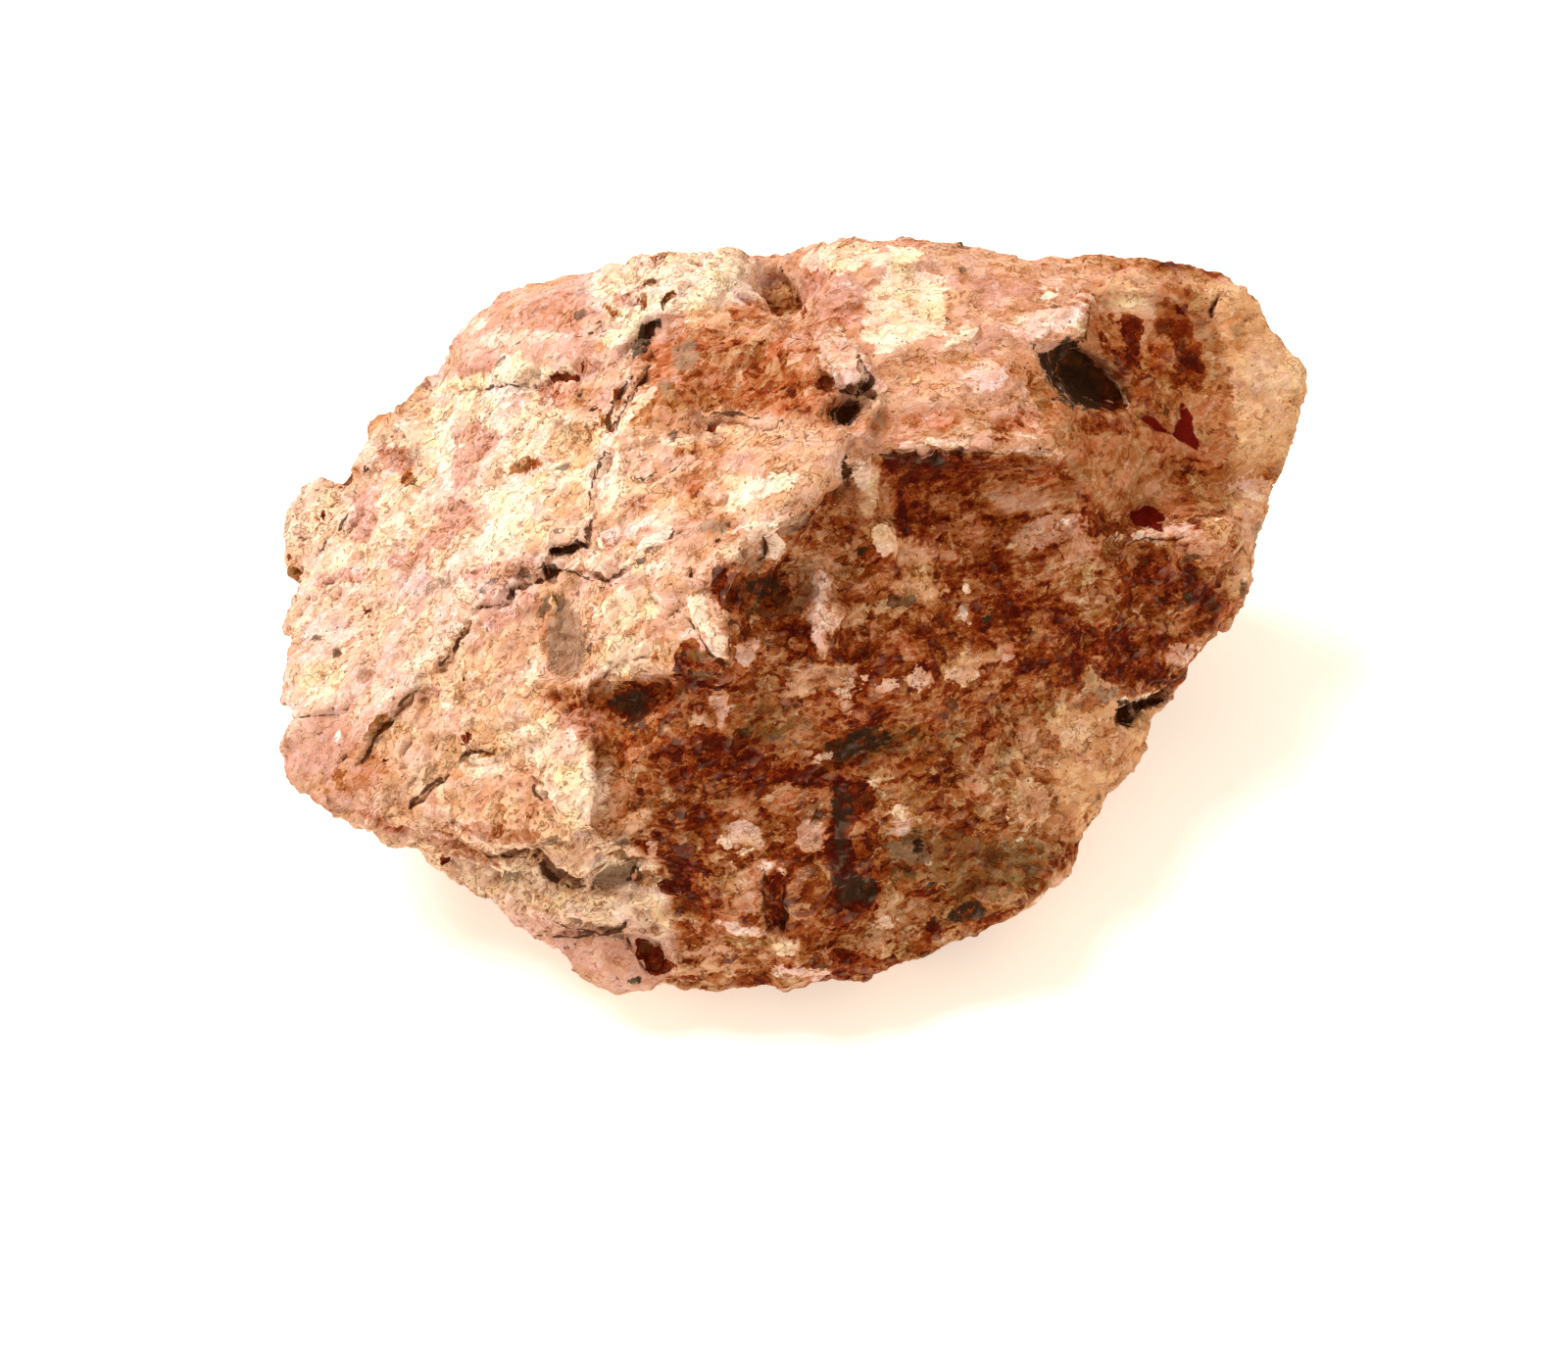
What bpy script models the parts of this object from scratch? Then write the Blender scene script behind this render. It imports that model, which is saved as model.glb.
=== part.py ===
"""A raw lump of pink pegmatite, 110 mm long, lying on a flat break.

The stone is one solid. Its bulk is a convex block between named corners. Smaller blocks add the plates,
lobes and knobs that stand proud of it, and more blocks cut the pits, notches and pockets. The joined
shape is remeshed, and the ledges, shallow hollows and ribs are pressed into it along lines that are
sketched from one viewpoint. Then it is roughened like broken feldspar and thinned to flat facets.

Run it with: blender --background --python part.py
"""

import bmesh
import bpy
import numpy as np
from mathutils import Vector, noise
from mathutils.bvhtree import BVHTree

MM = 0.001

# Sketches are drawn from one viewpoint: from the front, 50 degrees above the table. A sketch point is
# given in millimetres across and up from the sketch centre, in the plane that faces the viewpoint.
VIEWPOINT = Vector((-1.0, -205.15, 260.99))
SKETCH_CENTRE = Vector((0.0, 0.0, 27.0))
SKETCH_UP = Vector((0.0, 0.766, 0.643))
INTO_STONE = Vector((0.0, 0.643, -0.766))
SEEN_FROM = -0.05  # how squarely a face must turn to the viewpoint before the sketches start to reach it
SEEN_FULLY = 0.30  # and before they reach it in full

REMESH_SIZE = 1.0  # mm
TRIANGLES = 8800
FLAT_BREAK_HEIGHT = 1.4  # mm; what is lower than this is pressed flat onto the table plane
FLATNESS = 0.05  # mm

# A sketched line strays from its drawn place by this much, in swings of this length, all in mm.
STRAY = ((0.9, 5.0), (0.4, 2.0))
LEDGE_EDGE = (-0.25, 0.6)  # mm from the line: where a ledge starts to fall and where it has fallen
DENT_EDGE = (0.2, 1.3)  # as a share of a dent's half size: where its floor ends and where its rim is

# The broken surface: the height of each kind of unevenness and its size along the surface, in mm.
SWELL = (0.5, 14.0)
COARSE_FLAKES = (0.5, 7.0)
FINE_FLAKES = (0.35, 3.2)

STONE_COLOUR = (0.46, 0.235, 0.15, 1.0)
STONE_ROUGHNESS = 0.85

# Corners are in millimetres: x to the right, y away from the viewer, z up from the table.
BULK = [
    # the far rim, from the left shoulder to the right end
    (-38, 36, 31),
    (-30, 40.5, 32.7),
    (-18, 38.5, 40),
    (-8, 35.5, 44.5),
    (4, 36, 44.5),
    (15, 38, 42),
    (26, 37.5, 42.3),
    (34, 37, 43.5),
    (43, 36.5, 41.8),
    (50, 36, 35),
    # the right end, down to the table side
    (54, 30, 30),
    (51, 19, 23),
    (49, 13, 18),
    (43, 6, 15),
    (37, -3, 12.5),
    (30, -15, 11),
    (25, -23, 9.5),
    (18, -25, 7.5),
    # the front foot and the left side
    (4, -31, 5.5),
    (-9, -29, 5.5),
    (-28, -26, 8),
    (-35, -20, 10),
    (-46, -13, 12.5),
    (-53, -4, 18),
    (-54, 6, 19),
    (-53.5, 11, 18.5),
    (-50, 22, 21),
    (-39, 32, 29),
    # the crest
    (-11, 22, 46),
    (-16, 18, 45),
    (-19, 1, 41),
    (-20, -15, 33.5),
    (-7, -17, 39),
    (-6, -11, 44),
    (-19, -26, 24),
    (-13, -27, 20),
    (2, -5, 45),
    (10, 4, 45),
    (24, 10, 41),
    # the hidden back
    (-36, 37, 18),
    (-14, 43, 22),
    (6, 39, 12),
    (30, 43, 22),
    (48, 34, 16),
    # the flat break that it lies on
    (-34, -8, 0),
    (-38, 8, 0),
    (-26, 26, 0),
    (2, 31, 0),
    (30, 29, 0),
    (38, 17, 0),
    (30, -4, 0),
    (14, -19, 0),
    (-14, -21, 0),
]

# What stands proud of the bulk: the corners of each block.
PROUD = {
    # The plate at the upper left, above the long crack.
    "upper_left_plate": [
        (-39, 30, 31.5),
        (-29, 25.5, 38),
        (-22, 21.5, 42.5),
        (-16, 22.5, 46),
        (-14, 26, 46.5),
        (-6, 28.5, 47),
        (-5.5, 34.5, 46.5),
        (-18, 39, 41.2),
        (-31, 40, 35.3),
        (-38, 36, 32.5),
        (-36, 31, 26),
        (-18, 24, 36),
        (-8, 30, 36),
        (-8, 36, 36),
        (-34, 36, 28),
    ],
    # The raised plate in the middle, whose right end overhangs the gap beside it.
    "middle_plate": [
        (-2, 19, 50),
        (4, 15.5, 52),
        (7.5, 10, 53),
        (7.5, 6, 53),
        (5, 1, 51.5),
        (2, -5, 49),
        (-6, -11, 47),
        (-11, -11, 45),
        (-21, -6, 40.5),
        (-20.5, -14.5, 34.2),
        (-13, -16.5, 36.5),
        (-7.5, -17.5, 39.5),
        (-18.5, 1, 44),
        (-18, 13, 46.5),
        (-15.5, 19, 48),
        (-11, 21.5, 49),
        (-18, 18, 40),
        (-20, -4, 36),
        (0, -8, 40),
        (4, 14, 42),
        (-10, 22, 40),
    ],
    # The plate at the upper right, which ends in a long ledge.
    "right_plate": [
        (2, 18, 48.5),
        (3, 4, 49),
        (9, 0.5, 49),
        (26, 6, 43.5),
        (28, 12, 43.5),
        (30, 22, 44),
        (30.5, 27, 45),
        (20, 38, 43.3),
        (14, 37, 45.5),
        (4, 35, 47.5),
        (5, 4, 43),
        (25, 9, 38),
        (30, 26, 38),
        (4, 32, 38),
    ],
    # The rounded rim at the right end.
    "right_rim": [
        (44, 38, 41),
        (50.5, 36, 38),
        (54, 33, 35),
        (56, 29, 31),
        (54, 24, 27.5),
        (52, 19, 24.5),
        (47, 20, 30),
        (47, 27, 36),
        (45, 33, 39.5),
        (40, 37, 41),
        (44, 36, 25),
        (46, 22, 20),
    ],
    # The crumbling knob low on the right.
    "low_right_knob": [
        (35, 8, 27),
        (40, 11, 30),
        (46, 12, 29),
        (49.5, 13, 20),
        (47, 9, 17),
        (42, 4, 15),
        (37, 1, 17),
        (34, 3, 22),
        (40, 14, 18),
        (34, 10, 18),
    ],
    # The two lobes on the left edge.
    "left_lobe": [
        (-55, 20, 20),
        (-54, 23, 21.5),
        (-50, 24.5, 23.5),
        (-47, 22, 25),
        (-55, 15, 18),
        (-53, 13, 17),
        (-48, 12, 22),
        (-50, 18, 10),
        (-44, 20, 12),
    ],
    "low_left_lobe": [
        (-51.5, -7.5, 20),
        (-52.8, -11.5, 19),
        (-51, -15, 17.5),
        (-46.5, -17.5, 16),
        (-41, -18, 13.5),
        (-42, -12, 20.5),
        (-46, -5, 22.5),
        (-44, -6, 8),
        (-38, -12, 9),
    ],
    # The tan facet at the lower left, whose lower edge overhangs a little.
    "lower_left_facet": [
        (-45.5, -16.5, 16.5),
        (-37.3, -20.5, 17),
        (-28.1, -24, 20),
        (-19.2, -26.2, 24.6),
        (-20, -16, 33.6),
        (-30, -10, 31.5),
        (-40, -6, 26.5),
        (-44, -10, 21.5),
        (-40, -10, 12),
        (-25, -16, 14),
    ],
    # The pink toe at the front.
    "toe": [
        (-21, -30, 6),
        (-17.5, -32.5, 5),
        (-15, -31.5, 4),
        (-14, -28, 10),
        (-20, -26, 13),
        (-26, -26, 9),
        (-14, -22, 2),
        (-22, -22, 3),
    ],
}

# Slabs that have split off the far side and from under the ends: the corners of each block that cuts one.
SPLIT_OFF = {
    "far_slab": [
        (4, 33, 4),
        (1, 39, 27),
        (47, 37, 3),
        (52, 32, 24),
        (3, 60, 2),
        (1, 60, 29),
        (60, 60, 2),
        (60, 60, 26),
    ],
    "far_left_slab": [
        (-60, 16, 2),
        (-60, 20, 16),
        (-22, 33, 1),
        (-20, 38.5, 22),
        (-60, 60, 2),
        (-60, 60, 20),
        (-20, 60, 0),
        (-20, 60, 24),
    ],
    "under_right_end": [
        (37, 60, -2),
        (34, -30, -2),
        (70, 60, 16),
        (70, -30, 18),
        (40, 60, 6),
        (38, -30, 8),
        (70, 60, -2),
        (70, -30, -2),
    ],
    "under_left_end": [
        (-31, -30, -2),
        (-35, -30, 6),
        (-70, -30, 15),
        (-70, -30, -2),
        (-34, 60, -2),
        (-38, 60, 5),
        (-70, 60, 13),
        (-70, 60, -2),
    ],
}

# What is broken out of it: sketch points round each pit or notch, each with the depth there.
PITS = {
    "dark_pit": [
        (25.6, 27.6, 5),
        (28.6, 27.9, 6),
        (30.6, 26.8, 6),
        (34.6, 23.6, 3.5),
        (34.6, 21.8, 3),
        (30.2, 21.6, 4.5),
        (27.2, 23.4, 7),
        (25.8, 25.4, 7),
    ],
    "top_hollow": [
        (-4.6, 36.0, 4),
        (-1.5, 36.8, 3.5),
        (0.6, 34.0, 5),
        (2.4, 31.2, 4.5),
        (0.8, 30.0, 3.5),
        (-2.2, 30.2, 5),
        (-4.3, 32.6, 5.5),
    ],
    "slot_beside_plate": [
        (2.8, 20.2, 3),
        (4.2, 22.0, 4),
        (7.4, 24.6, 4.5),
        (8.0, 24.0, 4),
        (7.9, 21.5, 4),
        (6.2, 18.2, 3),
    ],
    "diamond_pocket": [
        (-26.0, 4.2, 2.5),
        (-24.6, 6.2, 4),
        (-20.8, 7.6, 5),
        (-20.9, 6.2, 5),
        (-23.3, 4.4, 4),
        (-25.2, 3.4, 2.5),
    ],
    "toe_pocket": [
        (-16.2, -33.0, 4),
        (-14.2, -33.0, 3.5),
        (-12.2, -34.5, 2),
        (-15.3, -36.0, 3),
    ],
    "low_right_notch": [
        (32.2, -8.6, 1),
        (38.6, -6.6, 6),
        (41.5, -7.6, 9),
        (38.0, -9.6, 8),
        (35.2, -11.2, 5),
        (33.4, -11.0, 3),
    ],
    "upper_left_notch": [
        (-55.0, 4.4, 26),
        (-55.0, 1.8, 26),
        (-49.8, 2.4, 26),
        (-50.2, 3.4, 26),
    ],
    "lower_left_notch": [
        (-55.0, -9.0, 26),
        (-55.0, -11.6, 26),
        (-49.6, -10.6, 26),
    ],
}

# Ledges: sketch lines where the surface steps down, each point with its drop. The lower side is to the
# right of the way the line runs, and rises back to the old surface at the given distance.
LEDGES = {
    "crest_and_long_ledge": (16.0, [
        (-12.0, -33.2, 0.4),
        (-13.0, -25.2, 0.8),
        (-20.0, -21.7, 2.0),
        (-20.2, -13.7, 2.4),
        (-23.0, -11.2, 1.4),
        (-25.5, -7.7, 0.8),
        (-21.0, -7.4, 2.2),
        (-13.0, -6.7, 2.8),
        (-7.0, -6.2, 2.6),
        (-6.5, 2.8, 3.0),
        (-5.0, 6.3, 3.2),
        (2.0, 11.3, 3.4),
        (6.0, 14.3, 2.6),
        (9.5, 16.6, 2.6),
        (15.0, 17.0, 4.0),
        (21.0, 16.2, 3.4),
        (27.0, 16.6, 2.0),
        (31.0, 15.5, 0.3),
    ]),
    "left_edge_of_middle_plate": (9.0, [
        (-12.5, 29.0, 0.5),
        (-15.5, 24.3, 1.6),
        (-17.0, 21.8, 2.2),
        (-19.0, 18.8, 2.2),
        (-19.8, 14.8, 1.8),
        (-20.7, 8.3, 2.0),
        (-23.0, 4.8, 1.2),
    ]),
    "edge_of_upper_left_plate": (7.0, [
        (-37.0, 22.8, 1.0),
        (-28.0, 24.5, 1.2),
        (-22.0, 25.0, 1.2),
        (-16.0, 28.3, 1.4),
        (-14.2, 30.3, 1.4),
        (-5.3, 32.8, 0.6),
    ]),
    "undercut_at_lower_left": (9.0, [
        (-48.0, -20.4, 0.4),
        (-38.0, -22.4, 1.6),
        (-29.0, -23.6, 2.4),
        (-20.0, -22.6, 2.2),
        (-13.0, -26.2, 1.0),
        (-8.0, -29.0, 0.2),
    ]),
    "rim_of_right_basin": (13.0, [
        (27.0, 25.0, 0.4),
        (28.5, 27.8, 1.8),
        (30.0, 32.2, 2.6),
        (34.0, 33.0, 2.2),
        (38.0, 32.0, 1.8),
        (42.0, 29.8, 1.2),
        (44.5, 24.0, 0.8),
    ]),
    "top_of_low_knob": (8.0, [
        (46.0, 10.2, 0.3),
        (41.0, 8.9, 1.6),
        (36.5, 9.4, 2.6),
        (33.5, 8.0, 2.2),
        (31.6, 3.0, 0.8),
    ]),
    "left_lobe_edge": (5.0, [
        (-45.5, 12.5, 0.4),
        (-47.0, 8.0, 1.2),
        (-49.5, 4.0, 1.0),
    ]),
}

# Ribs and grooves: sketch lines with the width of the band and its height; a groove's is negative.
RIBS = {
    "pale_rib": (1.6, 1.3, [(2.5, 7.0), (2.2, 1.0), (2.8, -5.0)]),
    "second_rib": (1.7, 1.2, [(8.2, 14.5), (7.0, 10.5), (9.0, 6.5), (9.6, 4.0)]),
    "diagonal_crack": (1.3, -1.9, [
        (-25.0, 3.8), (-29.0, 2.8), (-32.0, 0.3), (-33.5, -1.2), (-35.5, -5.2), (-39.0, -8.2),
        (-41.5, -11.2), (-44.0, -14.2),
    ]),
    "crack_in_the_undercut": (1.3, -1.8, [
        (-21.5, -24.5), (-19.8, -26.0), (-17.0, -27.8), (-14.5, -28.4), (-12.0, -28.0),
    ]),
    "furrow_beside_rib": (1.8, -1.1, [(5.2, 9.5), (5.0, 2.0), (5.6, -6.0)]),
    "block_edge_in_front": (1.2, 0.9, [(-9.0, -19.5), (-8.6, -26.0), (-9.4, -31.0)]),
    "low_front_band": (2.0, 1.2, [(-11.0, -34.6), (-3.0, -34.0), (4.0, -35.0), (10.0, -34.6)]),
    "lower_right_fold": (3.0, 1.2, [(16.0, -12.0), (22.0, -19.0), (24.0, -25.0)]),
}

# Shallow dents and swells: sketch centre, half size across and up, and height; a dent's is negative.
DENTS = {
    "right_basin": ((36.5, 20.5), (7.0, 12.0), -2.6),
    "right_flank": ((41.0, 14.0), (5.0, 5.0), -0.8),
    "silky_face": ((18.0, 6.0), (11.0, 8.0), -1.6),
    "low_front": ((2.0, -20.0), (12.0, 10.0), -1.3),
    "bulge_below_crest": ((13.0, -7.0), (12.0, 5.0), 1.1),
    "foot_at_right": ((30.5, -16.5), (5.0, 6.0), 1.3),
    "front_corner_block": ((2.0, -27.5), (8.0, 4.5), 1.4),
    "olive_dent": ((-39.5, 14.0), (2.6, 3.6), -1.2),
    "second_olive_dent": ((-27.0, 15.8), (3.2, 1.8), -0.9),
    "middle_of_plate": ((0.5, 13.5), (7.0, 3.5), 0.8),
    "upper_plate_hollow": ((-4.0, 24.0), (6.0, 3.0), -0.8),
    "dark_crystal": ((-15.0, 28.4), (1.4, 2.2), -1.4),
    "left_facet_hollow": ((-43.0, 2.0), (8.0, 5.0), -1.0),
    "low_left_facet": ((-33.0, -15.0), (9.0, 5.0), -0.9),
}

# On the far side, which the sketches don't reach, the stone breaks in ledges along its layering.
LAYER_NORMAL = Vector((0.35, 0.55, 0.76))
LAYER_THICKNESS = 7.5  # mm
LAYER_STEP = 1.7  # mm
LAYER_EDGE = 0.16  # how much of a layer its edge takes up
LAYER_BEND = 1.4  # layers
LAYER_BEND_SIZE = 22.0  # mm
LAYER_PATCH_SIZE = 17.0  # mm; the layers come and go in patches of this size
LAYER_PATCHES = (-0.35, 0.3)
PATCH_PLACE = Vector((85.0, 34.0, 153.0))


def block(name, corners):
    """A convex block between its corners."""
    shape = bmesh.new()
    for corner in corners:
        shape.verts.new(corner)
    hull = bmesh.ops.convex_hull(shape, input=shape.verts)
    unused = set(hull["geom_interior"]) | set(hull["geom_unused"])
    loose = [v for v in unused if isinstance(v, bmesh.types.BMVert)]
    bmesh.ops.delete(shape, geom=loose, context="VERTS")
    bmesh.ops.recalc_face_normals(shape, faces=shape.faces)
    mesh = bpy.data.meshes.new(name)
    shape.to_mesh(mesh)
    shape.free()
    return bpy.data.objects.new(name, mesh)


def boolean(stone, helpers, tool, operation):
    """Joins a helper block to the stone, or cuts it out."""
    tool.hide_render = True
    tool.display_type = "WIRE"
    helpers.objects.link(tool)
    step = stone.modifiers.new(tool.name, "BOOLEAN")
    step.operation = operation
    step.object = tool


def pit(name, rim, tree, reach=8.0):
    """The block that breaks a pit out: from its floor to well outside the stone, along the sketch lines."""
    corners = []
    for across, up, depth in rim:
        drawn = SKETCH_CENTRE + Vector((across, 0.0, 0.0)) + SKETCH_UP * up
        line = (drawn - VIEWPOINT).normalized()
        surface = tree.ray_cast(VIEWPOINT * MM, line)[0]
        point = surface / MM if surface else drawn
        corners.append((point + line * depth) * MM)
        corners.append((point - line * reach) * MM)
    return block(name, corners)


def bake(stone):
    """Replaces the stone's mesh by what its modifiers make of it."""
    graph = bpy.context.evaluated_depsgraph_get()
    mesh = bpy.data.meshes.new_from_object(stone.evaluated_get(graph))
    stone.modifiers.clear()
    stone.data = mesh
    mesh.name = stone.name


def remesh(stone, size):
    even = stone.modifiers.new("even", "REMESH")
    even.mode = "VOXEL"
    even.voxel_size = size * MM
    bake(stone)


def swell(point, size):
    """A gentle swell of about this size in mm, from -1 to 1."""
    return noise.fractal(point / size, 0.9, 2.0, 3)


def step(low, high, value):
    """A smooth rise from 0 to 1 between two values."""
    part = np.clip((value - low) / (high - low), 0.0, 1.0)
    return part * part * (3.0 - 2.0 * part)


def nearest_on_line(places, line):
    """For each sketch place: its distance to the line, the side it is on, and the drop at the nearest point."""
    distance = np.full(len(places), np.inf)
    side = np.zeros(len(places))
    drop = np.zeros(len(places))
    for start, end in zip(line, line[1:]):
        along = end[:2] - start[:2]
        length = np.linalg.norm(along)
        along = along / length
        offset = places - start[:2]
        reached = np.clip(offset @ along, 0.0, length)
        away = offset - reached[:, None] * along
        here = np.linalg.norm(away, axis=1)
        right = along[1] * offset[:, 0] - along[0] * offset[:, 1]
        closer = here < distance
        distance[closer] = here[closer]
        side[closer] = np.sign(right[closer])
        if len(start) > 2:
            drop[closer] = (start[2] + (end[2] - start[2]) * reached / length)[closer]
    return distance, side, drop


def sketch_places(points):
    """Where each point of the stone is on the sketch."""
    eye = np.array(VIEWPOINT)
    inward = np.array(INTO_STONE)
    lines = points - eye
    reach = (np.array(SKETCH_CENTRE) - eye) @ inward / (lines @ inward)
    seen = eye + lines * reach[:, None] - np.array(SKETCH_CENTRE)
    return np.stack([seen[:, 0], seen @ np.array(SKETCH_UP)], axis=1)


def wandering(point):
    """How far the lines of a sketch stray from the drawn line at a point, in mm."""
    stray = []
    for offset in (0.0, 31.0, 67.0):
        shifted = point + Vector((offset, offset, offset))
        stray.append(sum(height * noise.noise(shifted / size) for height, size in STRAY))
    return Vector(stray)


def press_sketches(mesh):
    """Presses the ledges, ribs, dents and the far side's layers into the surface."""
    points = np.array([v.co for v in mesh.vertices]) / MM
    normals = np.array([v.normal for v in mesh.vertices])
    lines = points - np.array(VIEWPOINT)
    lines /= np.linalg.norm(lines, axis=1)[:, None]
    seen = step(SEEN_FROM, SEEN_FULLY, -(normals * lines).sum(axis=1))
    wander = np.array([wandering(Vector(point)) for point in points])
    places = sketch_places(points) + wander[:, :2]
    depth = np.zeros(len(points))
    for fade, line in LEDGES.values():
        distance, side, drop = nearest_on_line(places, np.array(line))
        signed = distance * side
        fall = step(*LEDGE_EDGE, signed) * (1.0 - step(0.0, fade, signed))
        depth += drop * fall
    for width, height, line in RIBS.values():
        distance, _, _ = nearest_on_line(places, np.array(line))
        depth -= height * (1.0 - step(0.0, width, distance))
    for centre, half, height in DENTS.values():
        away = np.linalg.norm((places - np.array(centre)) / np.array(half), axis=1)
        depth -= height * (1.0 - step(*DENT_EDGE, away))
    points += lines * (depth * seen)[:, None]

    bend = np.array([swell(Vector(point), LAYER_BEND_SIZE) for point in points])
    patch = np.array([swell(Vector(point) + PATCH_PLACE, LAYER_PATCH_SIZE) for point in points])
    layer = (points + wander) @ np.array(LAYER_NORMAL) / LAYER_THICKNESS + LAYER_BEND * bend
    share = layer - np.floor(layer)
    height = step(0.0, LAYER_EDGE, share) - share - 0.6
    points += normals * (LAYER_STEP * height * step(*LAYER_PATCHES, patch) * (1.0 - seen))[:, None]
    for vertex, point in zip(mesh.vertices, points):
        vertex.co = Vector(point) * MM


def chips(point, size, seed):
    """Height of the broken surface at a point, from -1 to 1: tilted flakes of about this size, in mm."""
    place = point / size + Vector((seed, -seed, 0.5 * seed))
    nearest = noise.voronoi(place)[1][0]
    turn = noise.cell_vector(nearest * 53.0)
    return 0.6 * turn.x + 0.5 * turn.dot(place - nearest)


def roughen(mesh):
    """Moves each point along its normal, as coarse flakes, finer flakes and a gentle swell do."""
    normals = [v.normal.copy() for v in mesh.vertices]
    for vertex, normal in zip(mesh.vertices, normals):
        point = vertex.co / MM
        height = SWELL[0] * swell(point, SWELL[1])
        height += COARSE_FLAKES[0] * chips(point, COARSE_FLAKES[1], seed=3.0)
        height += FINE_FLAKES[0] * chips(point, FINE_FLAKES[1], seed=8.0)
        vertex.co += normal * height * MM


def centre_on_base(stone):
    """Puts the middle of the stone's box at x = y = 0, and its flat break exactly at z = 0."""
    points = np.array([v.co for v in stone.data.vertices])
    middle = (points.min(axis=0) + points.max(axis=0)) / 2
    for vertex in stone.data.vertices:
        vertex.co.x -= middle[0]
        vertex.co.y -= middle[1]
        if abs(vertex.co.z) < FLATNESS * MM:
            vertex.co.z = 0.0
    print("middle of the box before it was centred, mm:", *np.round(middle[:2] / MM, 2))


def finish():
    """The stone's own colour, roughness and metalness."""
    material = bpy.data.materials.new("pink_pegmatite")
    material.use_nodes = True
    shader = material.node_tree.nodes["Principled BSDF"]
    shader.inputs["Base Color"].default_value = STONE_COLOUR
    shader.inputs["Roughness"].default_value = STONE_ROUGHNESS
    shader.inputs["Metallic"].default_value = 0.0
    return material


def main():
    for obj in list(bpy.data.objects):
        bpy.data.objects.remove(obj)
    scene = bpy.context.scene
    collection = bpy.data.collections.new("pegmatite")
    helpers = bpy.data.collections.new("helpers")
    helpers.hide_render = True
    scene.collection.children.link(collection)
    scene.collection.children.link(helpers)

    stone = block("pegmatite", [Vector(corner) * MM for corner in BULK])
    collection.objects.link(stone)
    for name, corners in PROUD.items():
        boolean(stone, helpers, block(name, [Vector(corner) * MM for corner in corners]), "UNION")
    for name, corners in SPLIT_OFF.items():
        boolean(stone, helpers, block(name, [Vector(corner) * MM for corner in corners]), "DIFFERENCE")
    tree = BVHTree.FromObject(stone, bpy.context.evaluated_depsgraph_get())
    for name, rim in PITS.items():
        boolean(stone, helpers, pit(name, rim, tree), "DIFFERENCE")
    remesh(stone, REMESH_SIZE)
    press_sketches(stone.data)
    remesh(stone, REMESH_SIZE)
    roughen(stone.data)

    for vertex in stone.data.vertices:
        if vertex.co.z < FLAT_BREAK_HEIGHT * MM:
            vertex.co.z = 0.0
    thin = stone.modifiers.new("thin", "DECIMATE")
    thin.use_collapse_triangulate = True
    thin.ratio = TRIANGLES / (2 * len(stone.data.polygons))
    bake(stone)
    centre_on_base(stone)
    stone.data.materials.clear()
    stone.data.materials.append(finish())


main()
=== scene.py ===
"""The looks of the raw lump of pink pegmatite: broken feldspar, quartz and dark mica, on a white table.

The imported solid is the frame. Its surface is copied, made finer and roughened, and the stone's cracks,
ribs and hollows are pressed into it. What each place of the surface is made of is kept as named values on
the mesh, and the material turns those into colour, gloss and fine relief.
"""

import itertools
import math

import bpy
import numpy as np
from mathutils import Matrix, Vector


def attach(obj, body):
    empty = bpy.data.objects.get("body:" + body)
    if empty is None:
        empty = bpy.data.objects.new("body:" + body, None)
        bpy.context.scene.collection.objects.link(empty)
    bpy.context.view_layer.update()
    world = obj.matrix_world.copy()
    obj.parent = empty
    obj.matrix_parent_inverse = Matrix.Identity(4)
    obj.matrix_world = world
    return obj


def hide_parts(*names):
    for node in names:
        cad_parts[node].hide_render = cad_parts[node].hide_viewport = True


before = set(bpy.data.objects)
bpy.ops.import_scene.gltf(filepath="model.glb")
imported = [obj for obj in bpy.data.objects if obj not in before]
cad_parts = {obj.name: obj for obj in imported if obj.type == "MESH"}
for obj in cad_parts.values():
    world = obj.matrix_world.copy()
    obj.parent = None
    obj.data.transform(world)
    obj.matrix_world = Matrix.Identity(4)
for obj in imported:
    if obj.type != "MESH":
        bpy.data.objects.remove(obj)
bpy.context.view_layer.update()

MM = 0.001

# The camera that matches the photograph, in mm. Pixels are those of the 1600 x 1391 photograph.
PICTURE = (1600, 1391)
LENS = 70.0
SENSOR = 36.0
EYE = np.array([-1.48, -210.50, 260.99])
UP = np.array([0.0, 0.766, 0.643])
BACK = np.array([0.0, -0.643, 0.766])
PIXELS_PER_MM = 10.0  # near the middle of the stone

# How squarely the surface faces the camera where it starts to count as seen, and where it counts in full.
SEEN_FROM = -0.02
SEEN_FULLY = 0.22
DRAWN_FROM = 0.3  # patches are laid where the surface is seen by this share

# The grain of the stone runs in two directions: on the pale left side, and on the silky dark front.
LEFT_GRAIN = np.array([0.68, 0.60, 0.42])
FRONT_GRAIN = np.array([0.92, 0.39, -0.002])

# How much things are drawn out along the grain: the relief, the colours of both sides, and fine streaks.
RELIEF_STRETCH = 1.7
LEFT_STRETCH = 1.5
FRONT_STRETCH = 1.6
STREAK_STRETCH = 6.0

# Terraces: the part of a step's width that is its riser, and how much of its height the tread rises.
RISER = 0.22
TREAD_RISE = 0.12


# ---------------------------------------------------------------- repeatable noise

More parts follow.
